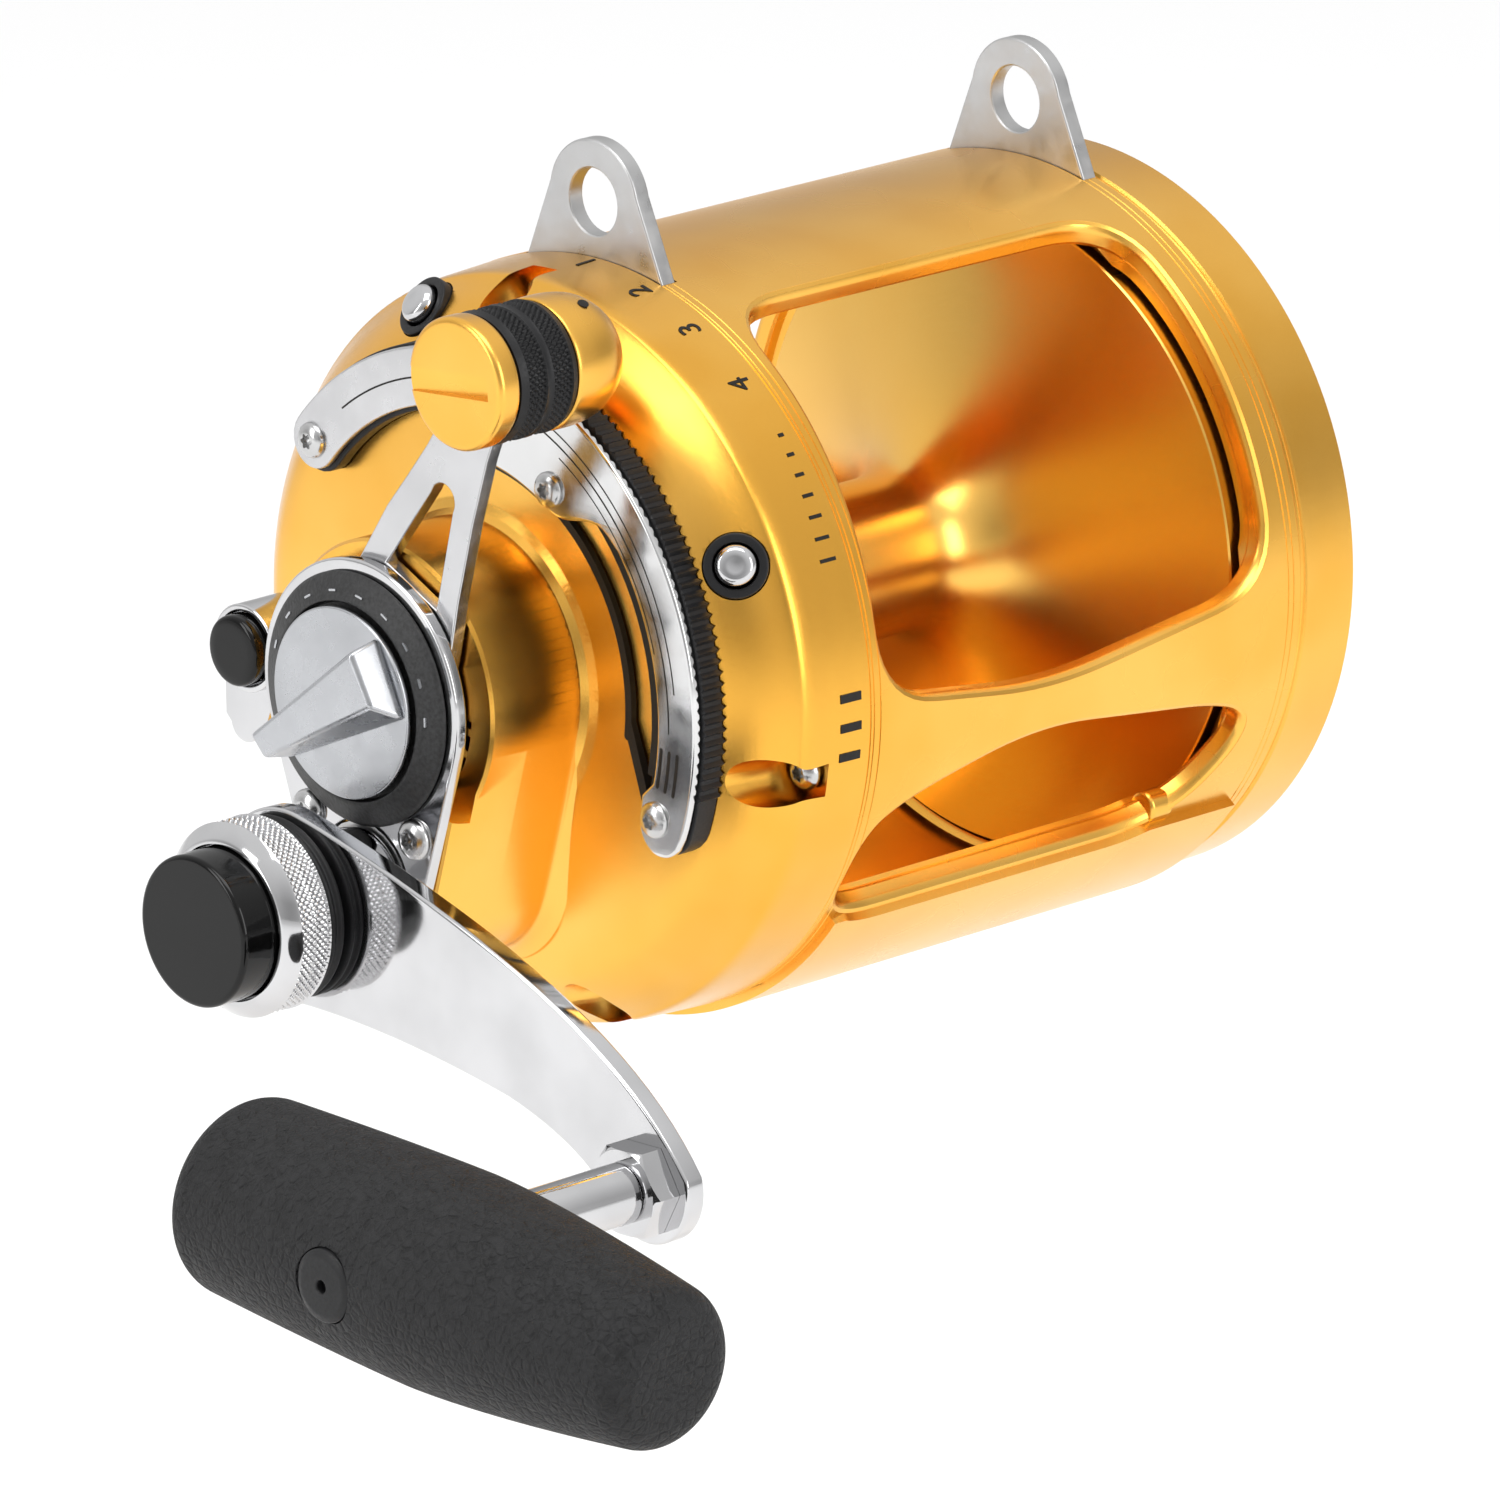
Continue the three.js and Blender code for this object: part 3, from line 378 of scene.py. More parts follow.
class Nodes:
    """The node tree of a material or a world, and ways to fill it."""

    def __init__(self, owner):
        owner.use_nodes = True
        self.tree = owner.node_tree

    def node(self, kind, **values):
        made = self.tree.nodes.new(kind)
        for name, value in values.items():
            if name in made.inputs:
                self.feed(made.inputs[name], value)
            else:
                setattr(made, name, value)
        return made

    def feed(self, socket, value):
        if isinstance(value, bpy.types.NodeSocket):
            self.tree.links.new(value, socket)
        else:
            socket.default_value = value

    def math(self, operation, a, b=0.0):
        made = self.node("ShaderNodeMath", operation=operation)
        self.feed(made.inputs[0], a)
        self.feed(made.inputs[1], b)
        return made.outputs[0]

    def spread(self, value, low, high, start=0.3, end=0.7):
        made = self.node("ShaderNodeMapRange", Value=value)
        made.inputs["From Min"].default_value = start
        made.inputs["From Max"].default_value = end
        made.inputs["To Min"].default_value = low
        made.inputs["To Max"].default_value = high
        return made.outputs["Result"]


class Look(Nodes):
    """A material whose colour, roughness and bump come from procedural textures."""

    def __init__(self, name):
        self.material = bpy.data.materials.new(name)
        super().__init__(self.material)
        self.shader = self.tree.nodes["Principled BSDF"]
        self.normal = None

    def coordinates(self, operation, vector):
        """Object coordinates, in metres, after an operation with a vector."""
        made = self.node("ShaderNodeVectorMath", operation=operation)
        self.feed(made.inputs[0], self.node("ShaderNodeTexCoord").outputs["Object"])
        self.feed(made.inputs[1], vector)
        return made.outputs[0]

    def place(self, scale=(1, 1, 1)):
        """Object coordinates, in metres, times a scale."""
        return self.coordinates("MULTIPLY", scale)

    def lathe(self):
        """Coordinates that hold along a lathe tool's path about the spool axis."""
        centred = self.coordinates("SUBTRACT", (SEAM, 0, SPOOL_Z))
        parts = self.node("ShaderNodeSeparateXYZ", Vector=centred).outputs
        across = self.math("POWER", parts["Y"], 2.0)
        up = self.math("POWER", parts["Z"], 2.0)
        radius = self.math("SQRT", self.math("ADD", across, up))
        wander = self.math("MULTIPLY", parts["Z"], 60.0)
        squeezed = self.math("MULTIPLY", radius, 0.4)
        joined = self.node("ShaderNodeCombineXYZ", X=parts["X"], Y=squeezed, Z=wander)
        return joined.outputs[0]

    def noise(self, vector, scale, detail=2.0, roughness=0.5):
        made = self.node("ShaderNodeTexNoise", Vector=vector, Scale=scale, Detail=detail)
        made.inputs["Roughness"].default_value = roughness
        return made.outputs["Fac"]

    def colours(self, value, first, second, start=0.35, end=0.65):
        ramp = self.node("ShaderNodeValToRGB", Fac=value)
        stops = ((start, first), (end, second))
        for element, (position, colour) in zip(ramp.color_ramp.elements, stops):
            element.position = position
            element.color = (*colour, 1)
        self.feed(self.shader.inputs["Base Color"], ramp.outputs["Color"])

    def bump(self, height, strength, distance):
        made = self.node("ShaderNodeBump", Height=height, Strength=strength, Distance=distance)
        if self.normal is not None:
            self.feed(made.inputs["Normal"], self.normal)
        self.normal = made.outputs["Normal"]
        self.feed(self.shader.inputs["Normal"], self.normal)

    def set(self, **values):
        for name, value in values.items():
            self.feed(self.shader.inputs[name.replace("_", " ")], value)
        return self


def gold(name, rough, turning=0.0, deep=(0.86, 0.44, 0.065), light=(0.94, 0.53, 0.11)):
    """Gold anodised aluminium, blasted or with turning marks of a given strength."""
    look = Look(name)
    look.colours(look.noise(look.place(), 26.0, 3.0), deep, light)
    grain = look.noise(look.place(), 5200.0)
    if turning:
        marks = look.noise(look.lathe(), 9000.0, 2.0, 0.6)
        look.bump(marks, turning, 0.00002)
        look.set(Roughness=look.spread(marks, rough * 0.8, rough * 1.3))
    else:
        cloud = look.noise(look.place(), 45.0)
        look.set(Roughness=look.spread(cloud, rough * 0.9, rough * 1.1))
    look.bump(grain, 0.12, 0.00001)
    return look.set(Metallic=1.0).material


def steel(name, colour, rough, lines=None, strength=0.2):
    """Bare metal; `lines` stretches its brush marks along the axis with the small number."""
    look = Look(name)
    cloud = look.noise(look.place(), 60.0, 3.0)
    dark = tuple(c * 0.88 for c in colour)
    look.colours(cloud, dark, colour)
    smears = look.noise(look.place(), 210.0, 5.0, 0.6)
    look.set(Roughness=look.spread(smears, rough * 0.7, rough * 1.5))
    if lines:
        look.bump(look.noise(look.place(lines), 1.0, 3.0, 0.65), strength, 0.00002)
    return look.set(Metallic=1.0).material


def plastic(name, colour, rough, grain, strength, depth):
    """Black anodising, plastic or paint; its grain is per metre and its depth in metres."""
    look = Look(name)
    look.colours(look.noise(look.place(), 90.0, 3.0), tuple(c * 0.7 for c in colour), colour)
    fine = look.noise(look.place(), grain, 3.0, 0.6)
    look.set(Roughness=look.spread(fine, rough * 0.8, rough * 1.25))
    look.bump(fine, strength, depth)
    return look.set(Specular_IOR_Level=0.3).material


def grip_rubber():
    """Soft rubber with a crackled leather grain."""
    look = Look("grip_rubber")
    cells = look.node("ShaderNodeTexVoronoi", Vector=look.place(), Scale=620.0)
    cells.feature = "DISTANCE_TO_EDGE"
    warp = look.noise(look.place(), 420.0, 4.0, 0.65)
    crackle = look.spread(cells.outputs["Distance"], 0.0, 1.0, 0.02, 0.22)
    look.colours(warp, (0.004, 0.004, 0.0045), (0.020, 0.020, 0.021))
    look.bump(crackle, 0.7, 0.0004)
    look.bump(warp, 0.9, 0.0008)
    look.bump(look.noise(look.place(), 2600.0), 0.3, 0.00008)
    look.set(Roughness=look.spread(warp, 0.5, 0.8), Specular_IOR_Level=0.35)
    return look.material


def crinkle_black():
    """Black finish with a wrinkled surface, on the preset dish."""
    look = Look("crinkle_black")
    wrinkles = look.noise(look.place(), 1500.0, 4.0, 0.6)
    look.colours(wrinkles, (0.006, 0.006, 0.006), (0.022, 0.022, 0.023))
    look.bump(wrinkles, 0.8, 0.00015)
    return look.set(Roughness=0.48).material


SATIN_GOLD = gold("gold_satin", 0.27)
TURNED_GOLD = gold("gold_turned", 0.2, 0.35)
BRIGHT_GOLD = gold("gold_bright", 0.13, 0.12)
SCALE_STEEL = steel("steel_scale", (0.62, 0.62, 0.63), 0.3, (4000, 7000, 4000), 0.15)
# the spool's gold is lighter and yellower than the other gold: painted light that brightens the spool's shaded
# inside behind the frame
SPOOL_GOLD_PAINTED_LIGHT = gold("gold_spool_painted_light", 0.22, 0.25, deep=(0.95, 0.56, 0.13))
POLISHED = steel("steel_polished", (0.66, 0.66, 0.67), 0.07)
BRUSHED = steel("steel_brushed", (0.54, 0.54, 0.54), 0.34, (9000, 900, 900), 0.35)
ENGRAVED = steel("steel_engraved", (0.72, 0.72, 0.72), 0.12, (900, 7000, 900), 0.1)
LEVER_STEEL = steel("steel_lever", (0.60, 0.60, 0.61), 0.2, (9000, 700, 5000), 0.2)
SCREW_STEEL = steel("steel_screw", (0.58, 0.58, 0.58), 0.2, (5000, 5000, 5000), 0.1)
SATIN_STEEL = steel("steel_satin", (0.50, 0.51, 0.53), 0.27, (4000, 4000, 4000), 0.12)
MACHINED = steel("steel_machined", (0.58, 0.58, 0.58), 0.3, (12000, 800, 800), 0.3)
BRASS = steel("brass_machined", (0.72, 0.50, 0.20), 0.3, (12000, 800, 800), 0.3)
BLACK = plastic("black_anodised", (0.010, 0.010, 0.011), 0.42, 2600.0, 0.35, 0.00004)
GLOSS = plastic("gloss_black", (0.003, 0.003, 0.003), 0.08, 700.0, 0.05, 0.00002)
CARBON = plastic("drag_carbon", (0.03, 0.03, 0.032), 0.6, 1800.0, 0.6, 0.0001)
SEAL = plastic("seal_rubber", (0.012, 0.012, 0.013), 0.45, 1800.0, 0.3, 0.00005)
INK = plastic("ink_black", (0.010, 0.008, 0.006), 0.5, 1500.0, 0.2, 0.00002)
RUBBER = grip_rubber()
CRINKLE = crinkle_black()

# ---- frame


def grown(points, distance):
    """Moves a closed path outwards, each point along its own normal."""
    area = sum(a[0] * b[1] - b[0] * a[1] for a, b in zip(points, points[1:] + points[:1]))
    side = 1 if area > 0 else -1
    result = []
    for i, point in enumerate(points):
        along = Vector(points[(i + 1) % len(points)]) - Vector(points[i - 1])
        normal = Vector((along.y, -along.x)).normalized() * side
        result.append(tuple(Vector(point) + normal * distance))
    return result


def window(corners):
    """Cutter through the frame wall with a rounded mouth; corners are (axial mm, degrees)."""
    scale = math.radians(1) * RADIUS
    outline = rounded([(x, degrees * scale) for x, degrees in corners], WINDOW_CORNER, True, 9)
    fine = []
    for start, end in zip(outline, outline[1:] + outline[:1]):
        pieces = max(1, math.ceil(math.dist(start, end) / WINDOW_STEP))
        for k in range(pieces):
            fine.append(tuple(Vector(start).lerp(Vector(end), k / pieces)))
    # radius of each section, and how much wider it is than the window's own outline
    sections = [
        (44, 1.2), (RADIUS - 4.6, 1.2), (RADIUS - 3.9, 0.25), (RADIUS - 3.4, 0.0),
        (RADIUS - 1.6, 0.0), (RADIUS - 0.9, 0.15), (RADIUS - 0.35, 0.55), (RADIUS - 0.06, 1.15),
        (RADIUS + 2, 1.4), (RADIUS + 30, 1.4),
    ]
    verts = []
    for radius, wider in sections:
        for x, length in grown(fine, wider):
            verts.append((x, *polar(radius, length / scale)))
    return skinned(verts, len(fine))


def lug_outline(grow=0.0):
    """Foot with straight sides, running up to a round eye."""
    foot, eye = 15.5 + grow, 10 + grow
    low, high = 55.5 - grow, 58.6
    points = [(-foot, low), (foot, low), (foot, high)]
    return points + arc(eye, 12, 168, 0, LUG_CENTRE) + [(-foot, high)]


def lug_seat(name):
    x = LUG_PLACES[name]
    return slab([lug_outline(LUG_PLAY)], x - LUG_PLAY, x + (LUG_THICKNESS + LUG_PLAY))


def groove(x):
    """Points of a fine turned line in a profile that runs towards +X."""
    half, depth = 0.14, 0.22
    return [(x - half, RADIUS), (x, RADIUS - depth), (x + half, RADIUS)]


def build_frame():
    inner = RADIUS - WALL
    far = -LENGTH
    profile = [(far, 54.4), (far, RADIUS - 0.6), (far + 0.7, RADIUS)]
    for x in (far + 2.2, far + 3.4, -2.1, -0.7):
        profile += groove(x)
    profile += [
        (-0.1, RADIUS), (0, RADIUS - 0.2), (0, 57), (5, 57), (5, 54.4), (-4, 54.4), (-6, inner),
        (-86.5, inner), (-88.5, 54.4),
    ]
    shell = turned(profile, FINE_ROUND)
    low = arc(62.4, -142, -38, step=2) + arc(inner - 1, -38, -142, step=2)
    bottom = slab([low], -92.5, -3)
    corners = [(-2.5, 0.5), (-40, -4.5), (-88.5, 1.5), (-88.5, 66), (-5.5, 66.5)]
    lower = [
        (-1.5, -38), (-76, -38), (-88, -22), (-82, -17), (-38, -11.5), (-12, -17), (-2.5, -22),
    ]
    cutters = []
    for outline in (corners, lower):
        cutters.append(window(outline))
        cutters.append(window([(x, 180 - a) for x, a in outline]))
    pad = box(far + 10, -8, -40, 40, -PAD_DEPTH - 5, -PAD_DEPTH)
    for x in (-LENGTH / 2 - 20, -LENGTH / 2 + 20):
        for y in (-6, 6):
            hole = placed(rod(-6, 6, 2, segments=32), turn(math.pi / 2, "Y"))
            cutters.append(placed(hole, move(x, y, -PAD_DEPTH)))
    seats = [lug_seat(name) for name in LUG_PLACES]
    cage = cut(join(shell, bottom), pad, *cutters, *seats)
    add("reel_frame", cage, REEL, "chassis", SATIN_GOLD, ["frame"], sharp=25)
    for name, angle in (("bar_boss_front", -37), ("bar_boss_rear", 180 + 37)):
        boss = rod(-78.5, -73.5, 2.6, *polar(58.6, angle), edge=0.8)
        add(name, boss, REEL, "chassis", SATIN_GOLD)


def build_lugs():
    for name, x in LUG_PLACES.items():
        hole = arc(5.4, 0, 352, 0, LUG_CENTRE, step=8)
        plate = slab([lug_outline(), hole], x, x + LUG_THICKNESS, edge=0.35)
        add(name + "_plate", plate, REEL, "chassis", BRUSHED, [name])


# ---- right side plate


def band_radius(x):
    """Radius of the number band, which leans in a little towards the front."""
    return RADIUS - 0.7 * (x + 1) / BAND_WIDTH


def dome_profile(grow=0.0):
    return [
        (BAND_WIDTH - 0.9, RADIUS - 0.75 + grow), (BAND_WIDTH + grow, RADIUS - 1.7 + grow),
        (18.6 + 0.7 * grow, 56.3 + 0.7 * grow), (22.3 + grow, 52.2 + 0.6 * grow),
        (FACE + grow, 49.3), (25.6 + grow, 27),
    ]


def screw_recess(angle):
    cutter = rod(0, 26, 4.0, segments=40)
    cutter = placed(cutter, move(8, 57.6, 0) @ turn(math.radians(-6), "Z"))
    hole = rod(-1, 9, 1.8, SCREW_CIRCLE, 0)
    seat = rod(8.4, 12, 3.2, SCREW_CIRCLE, 0)
    return placed(join(cutter, hole, seat), turn(math.radians(angle)))


def housing():
    """Gear housing from the dome to the bridge plate, with a cove round its foot."""
    sections = [
        (21, 3.4, 3.4), (24.4, 2.6, 2.6), (25.3, 1.2, 1.3), (26.3, 0.35, 0.4), (27.6, 0, 0),
        (37.5, 0, 0), (47.6, -1.75, -1.75), (48.7, -2.1, -2.1), (49, -2.5, -2.5),
    ]
    outlines = [(x, teardrop(BOSS_RADIUS + a, 15.5 + b)) for x, a, b in sections]
    return loft(outlines)


def on_slope(mesh, angle, tip):
    """Places a shape built about X on the side plate's slope, tipped outwards."""
    tilt = turn(math.radians(tip), "Z")
    return placed(mesh, turn(math.radians(angle)) @ move(*STOP_SEAT) @ tilt)


def build_right_plate():
    dome = [
        (0, 57.2), (0, RADIUS - 0.2), (0.15, RADIUS - 0.05),
        *dome_profile(), (25.6, 18), (20.8, 18), (20, 46), (17, 51.4), (13.5, 51.8),
        (13.5, 55.4), (5.3, 55.4), (5.3, 57.2),
    ]
    shell = turned(dome[:2] + rounded(dome[2:9], 2.6) + dome[9:], FINE_ROUND)
    boss = turned([
        (22, 0), (22, 27.5), (25.4, 27.2), (26.1, 25.2), (27.2, BOSS_RADIUS),
        (BOSS_FRONT - 0.5, BOSS_RADIUS), (BOSS_FRONT, BOSS_RADIUS - 0.5), (BOSS_FRONT, 0),
    ])
    sweep = [(0, 0)] + arc(32, -44, 224)
    pocket = slab([sweep], BOSS_FRONT, BRIDGE_BACK + 1)
    clearance = rod(BOSS_FRONT, BRIDGE_BACK + 1, 19.4, segments=96)
    tools = [
        pocket, clearance, rod(19, 43, 16.5), rod(40, 50, 11.2),
        rod(19, 50, 7.5, 0, -HANDLE_DROP), rod(43.8, 50, 10.2, 0, -HANDLE_DROP),
        rod(15, 30, 5.6, *CLICK_PIVOT), lug_seat("right_harness_lug"),
    ]
    tools += [screw_recess(angle) for angle in SCREW_ANGLES]
    tools += [on_slope(rod(-9, 6, 5.3), *place) for place in STOPS.values()]
    lands = [rod(5.6, 13.6, 4.9, *polar(54.6, angle)) for angle in SCREW_ANGLES]
    body = cut(join(shell, housing(), boss, *lands), *tools)
    mesh = soften(body, 0.3, angle=45)
    add("side_plate_right", mesh, REEL, "chassis", TURNED_GOLD,
        ["right_side_plate"], sharp=25)


def ink(name, mesh):
    """Adds a printed or engraved mark on a fixed part."""
    add(name, mesh, REEL, "chassis", INK)


def on_band(mesh, x0, degrees):
    """Wraps a flat mark, up towards +X and reading round the axis, onto the number band."""
    for vertex in mesh.vertices:
        u, v, w = vertex.co
        x = x0 + v
        radius = band_radius(x) + w + MARK_LIFT
        angle = math.radians(degrees) + u / RADIUS
        vertex.co = (x, radius * math.cos(angle), radius * math.sin(angle))
    mesh.update()
    return mesh


def numeral(text):
    curve = bpy.data.curves.new("numeral", "FONT")
    curve.body = text
    curve.size = NUMERAL_SIZE
    curve.align_x = "CENTER"
    curve.align_y = "CENTER"
    curve.extrude = MARK_DEPTH
    return tidy(evaluated(curve), 1e-4)


def bar_mark(half, height):
    """Thin upright bar in its own plane."""
    points = [(-half, 0), (half, 0), (half, height), (-half, height)]
    mesh = slab([points], -MARK_DEPTH, MARK_DEPTH)
    lay = Matrix(((0, 1, 0, 0), (0, 0, 1, 0), (1, 0, 0, 0), (0, 0, 0, 1)))
    mesh.transform(lay)
    return mesh


def build_dial():
    """Numbers 1 to 4, a wedge for the strike range and bars for full drag."""
    for text, x, degrees in DIAL_NUMBERS:
        ink("dial_number_" + text, on_band(numeral(text), x, degrees))
    for i in range(7):
        bar = bar_mark(0.3, 1.0 + 0.35 * i)
        ink(f"dial_strike_mark_{i + 1}", on_band(bar, 2.6, 22.5 + 3.3 * (6 - i)))
    for i in range(3):
        ink(f"dial_full_mark_{i + 1}", on_band(bar_mark(0.7, 4.2), 2.0, -7 + 4.5 * i))


# ---- screws


def lobed(radius):
    """Outline of a six-lobed socket."""
    lobes, depth, count = 6, 0.16, 48
    points = []
    for i in range(count):
        angle = 360 * i / count
        wave = math.cos(math.radians(lobes * angle))
        points.append(polar(radius * (1 - depth + depth * wave), angle))
    return points


def screw_head(front, radius, height, shank, length):
    """Button head with a six-lobed socket, head at the +X end."""
    back = front - height
    body = turned([
        (back - length, 0), (back - length, shank), (back, shank), (back, radius),
        (front - 0.72 * height, radius), (front - 0.4 * height, radius * 0.9),
        (front - 0.12 * height, radius * 0.66), (front, radius * 0.46), (front, 0),
    ], 48, reach=0.25)
    socket = slab([lobed(radius * 0.46)], front - 0.7 * height, front + 1)
    return soften(cut(body, socket), 0.06, angle=40)


def put_screws(name, mesh, places, node=None):
    """Adds one screw at each place, in the stead of its numbered node."""
    for i, place in enumerate(places, 1):
        replaces = [f"{node}_{i}"] if node else ()
        screw = placed(mesh, place)
        add(f"{name}_{i}", screw, REEL, "chassis", SCREW_STEEL, replaces)


def build_screws():
    side = screw_head(front=10.8, radius=2.9, height=2.2, shank=1.6, length=7)
    places = [turn(math.radians(angle)) @ move(y=SCREW_CIRCLE) for angle in SCREW_ANGLES]
    put_screws("side_screw", side, places, "plate_screw")
    scale = screw_head(front=PLATE_TOP + 1.4, radius=2.9, height=1.4, shank=1.3, length=5.5)
    places = [move(0, *polar(*spot)) @ turn(i) for i, spot in enumerate(QUADRANT_SCREWS)]
    put_screws("scale_screw", scale, places, "quadrant_screw")
    bridge = screw_head(front=BRIDGE_FRONT + 1.8, radius=3.3, height=1.8, shank=1.5, length=8)
    y, z = BRIDGE_SCREW
    places = [move(0, -y, z) @ turn(0.5), move(0, y, z) @ turn(1.5)]
    put_screws("bridge_plate_screw", bridge, places, "bridge_screw")


# ---- quadrant


def toothed_rim():
    teeth, start, end = 46, -14, 78
    points = []
    for i in range(2 * teeth):
        angle = start + (end - start) * i / (2 * teeth)
        points.append(polar(QUADRANT_RADIUS - (0.0 if i % 2 else 0.95), angle))
    return points + arc(40, end, start)


def strike_outline():
    """Strike plate: wide round the upper screw, narrow below, with a round lower end."""
    points = arc(51.2, -21, 82, step=2) + arc(34.6, 82, 58, step=2)
    points += rounded([polar(34.6, 58), polar(35.4, 52), polar(42, 44), polar(42.8, 36)], 3)
    points += arc(42.8, 34, -14, step=2) + [polar(41, -18)]
    end = polar(46.4, -22)
    return points + arc(4.7, 170, 320, *end, step=10)


def build_quadrant():
    back = FACE - 1.5
    body = slab([band(41, QUADRANT_RADIUS - 0.6, -21, 139)], back, QUADRANT_TOP, edge=0.3)
    low = QUADRANT_TOP - 0.6
    brace = [polar(33.4, -6), polar(43, -27), polar(44.6, -26), polar(34.8, -4)]
    parts = [
        slab([toothed_rim()], back, QUADRANT_TOP),
        slab([band(33.4, 34.8, -8, 90)], back, low),
        slab([brace], back, low),
        slab([band(33.4, 43, 60, 84)], back, QUADRANT_TOP),
    ]
    below = turned([(-1, 0), (-1, RADIUS + 0.3), *dome_profile(0.3), (25.9, 0)])
    mesh = soften(cut(join(body, *parts), below), 0.1, angle=40, segments=1)
    add("quadrant_rim", mesh, REEL, "chassis", BLACK, ["quadrant_carrier"])
    free = slab([band(41.8, 51.2, 101, 139)], QUADRANT_TOP, PLATE_TOP, edge=0.4)
    add("free_spool_scale", free, REEL, "chassis", SCALE_STEEL,
        ["free_spool_plate"])
    strike = slab([strike_outline()], QUADRANT_TOP, PLATE_TOP, edge=0.5)
    add("strike_scale", strike, REEL, "chassis", ENGRAVED, ["strike_plate"])
    lines = {
        "scale_line_free": (46.2, 46.5, 104, 127), "scale_line_zone": (45.3, 45.6, -2, 80),
        "scale_line_outer": (46.9, 47.15, 6, 80), "scale_line_inner": (43.7, 43.9, 14, 60),
    }
    for name, (inner, outer, start, end) in lines.items():
        ink(name, slab([band(inner, outer, start, end)], *SCALE_MARK))
    for i in range(3):
        bar = band(43.6 + 1.8 * i, 44.3 + 1.8 * i, -14, -6)
        ink(f"scale_full_mark_{i + 1}", slab([bar], *SCALE_MARK))


def build_stops():
    bush = turned([
        (-7.6, 0), (-7.6, 5.1), (0.9, 5.1), (0.9, 3.6), (-5.8, 3.5), (-5.8, 0),
    ], 64, reach=0.35)
    pin = turned([
        (-3.2, 0), (-3.2, 3.25), (1.9, 3.25), (2.7, 2.6), (2.85, 1.6), (2.75, 0.8), (2.7, 0),
    ], 64, reach=0.4)
    for name, place in STOPS.items():
        add(name + "_bush", on_slope(bush, *place), REEL, "chassis", BLACK,
            [name + "_stop_bush"])
        add(name + "_button", on_slope(pin, *place), REEL, name + "_stop", POLISHED,
            [name + "_stop_button"])


# ---- bridge plate, preset


def build_bridge():
    holes = [arc(9, 0, 352, step=8), arc(10.3, 0, 352, 0, -HANDLE_DROP, step=8)]
    plate = slab([teardrop(22.2, 12.8), *holes], BRIDGE_BACK, BRIDGE_FRONT, edge=0.45)
    add("bridge_cover", plate, REEL, "chassis", POLISHED, ["bridge_plate"])


def build_preset():
    back = BRIDGE_FRONT + 0.2
    dish = turned([
        (40, 4.3), (40, 8), (back, 8), (back, 20.2), (back + 0.5, 20.4), (back + 1.0, 19.9),
        (54.1, 16.4), (54.1, 15.9), (52.8, 15.7), (52.8, 4.3),
    ], reach=0.3)
    add("preset_ring", dish, REEL, "preset_dish", CRINKLE, ["preset_dish"])
    cap = turned([
        (42, 0), (42, 4), (54.4, 4), (54.4, 15.3), (55.4, 15.3), (55.4, 0),
    ], reach=0.35)
    bar = loft([
        (55.2, [(-15.4, -6.6), (-11.4, -11.0), (14.9, 0.2), (9.2, 12.6)]),
        (57.0, [(-15.4, -6.8), (-11.6, -10.8), (14.9, 1.0), (9.6, 12.4)]),
        (61.0, [(-15.1, -6.9), (-12.0, -10.2), (13.2, 3.0), (8.6, 11.0)]),
    ])
    knob = join(cap, soften(bar, 0.8, angle=30, segments=3))
    add("preset_cap", knob, REEL, "preset_knob", SATIN_STEEL, ["preset_knob"],
        sharp=30)
    for i in range(9):
        mark = slab([band(17.4, 17.75, 20 * i - 2, 20 * i + 2)], 53.2, 53.75)
        add(f"preset_mark_{i + 1}", mark, REEL, "preset_dish", SATIN_STEEL)


# ---- drag lever


def knurl(x0, x1, radius, around, rows, depth):
    """Ring profile function for a diamond knurl between x0 and x1."""
    def shape(x, r, angle):
        if r < radius - 0.01 or not x0 < x < x1:
            return r
        turns = angle / (2 * math.pi) * around
        along = (x - x0) / (x1 - x0) * rows
        first = abs((turns + along) % 1 - 0.5)
        second = abs((turns - along) % 1 - 0.5)
        return r - depth * 2 * max(first, second)
    return shape


def build_lever():
    right = [(14.5, -12.4), (18.8, -11.4), (25.3, -9.8), (38.8, -7.2), (50, -5.6)]
    left = [(50, 5.8), (44.4, 6.6), (37, 8.3), (30.1, 10.0), (18.9, 11.6), (14.5, 12.4)]
    outline = arc(18.4, 42, 318) + right
    outline += arc(7.9, 222, 498, KNOB_REACH, 0, step=6) + left
    slot = [(21.5, -6.2), (30, -4.4), (38, -2.7)] + arc(2.7, -78, 78, 38.4, 0, step=12)
    slot += [(38, 2.7), (30, 4.4), (21.5, 6.2)]
    holes = [slot, arc(8.4, 0, 352, step=8), arc(4.2, 0, 352, KNOB_REACH, 0, step=8)]
    plate = slab([outline, *holes], LEVER_BACK, LEVER_FRONT, edge=0.35)
    add("lever_arm", plate, LEVER, "lever", LEVER_STEEL, ["drag_lever"])


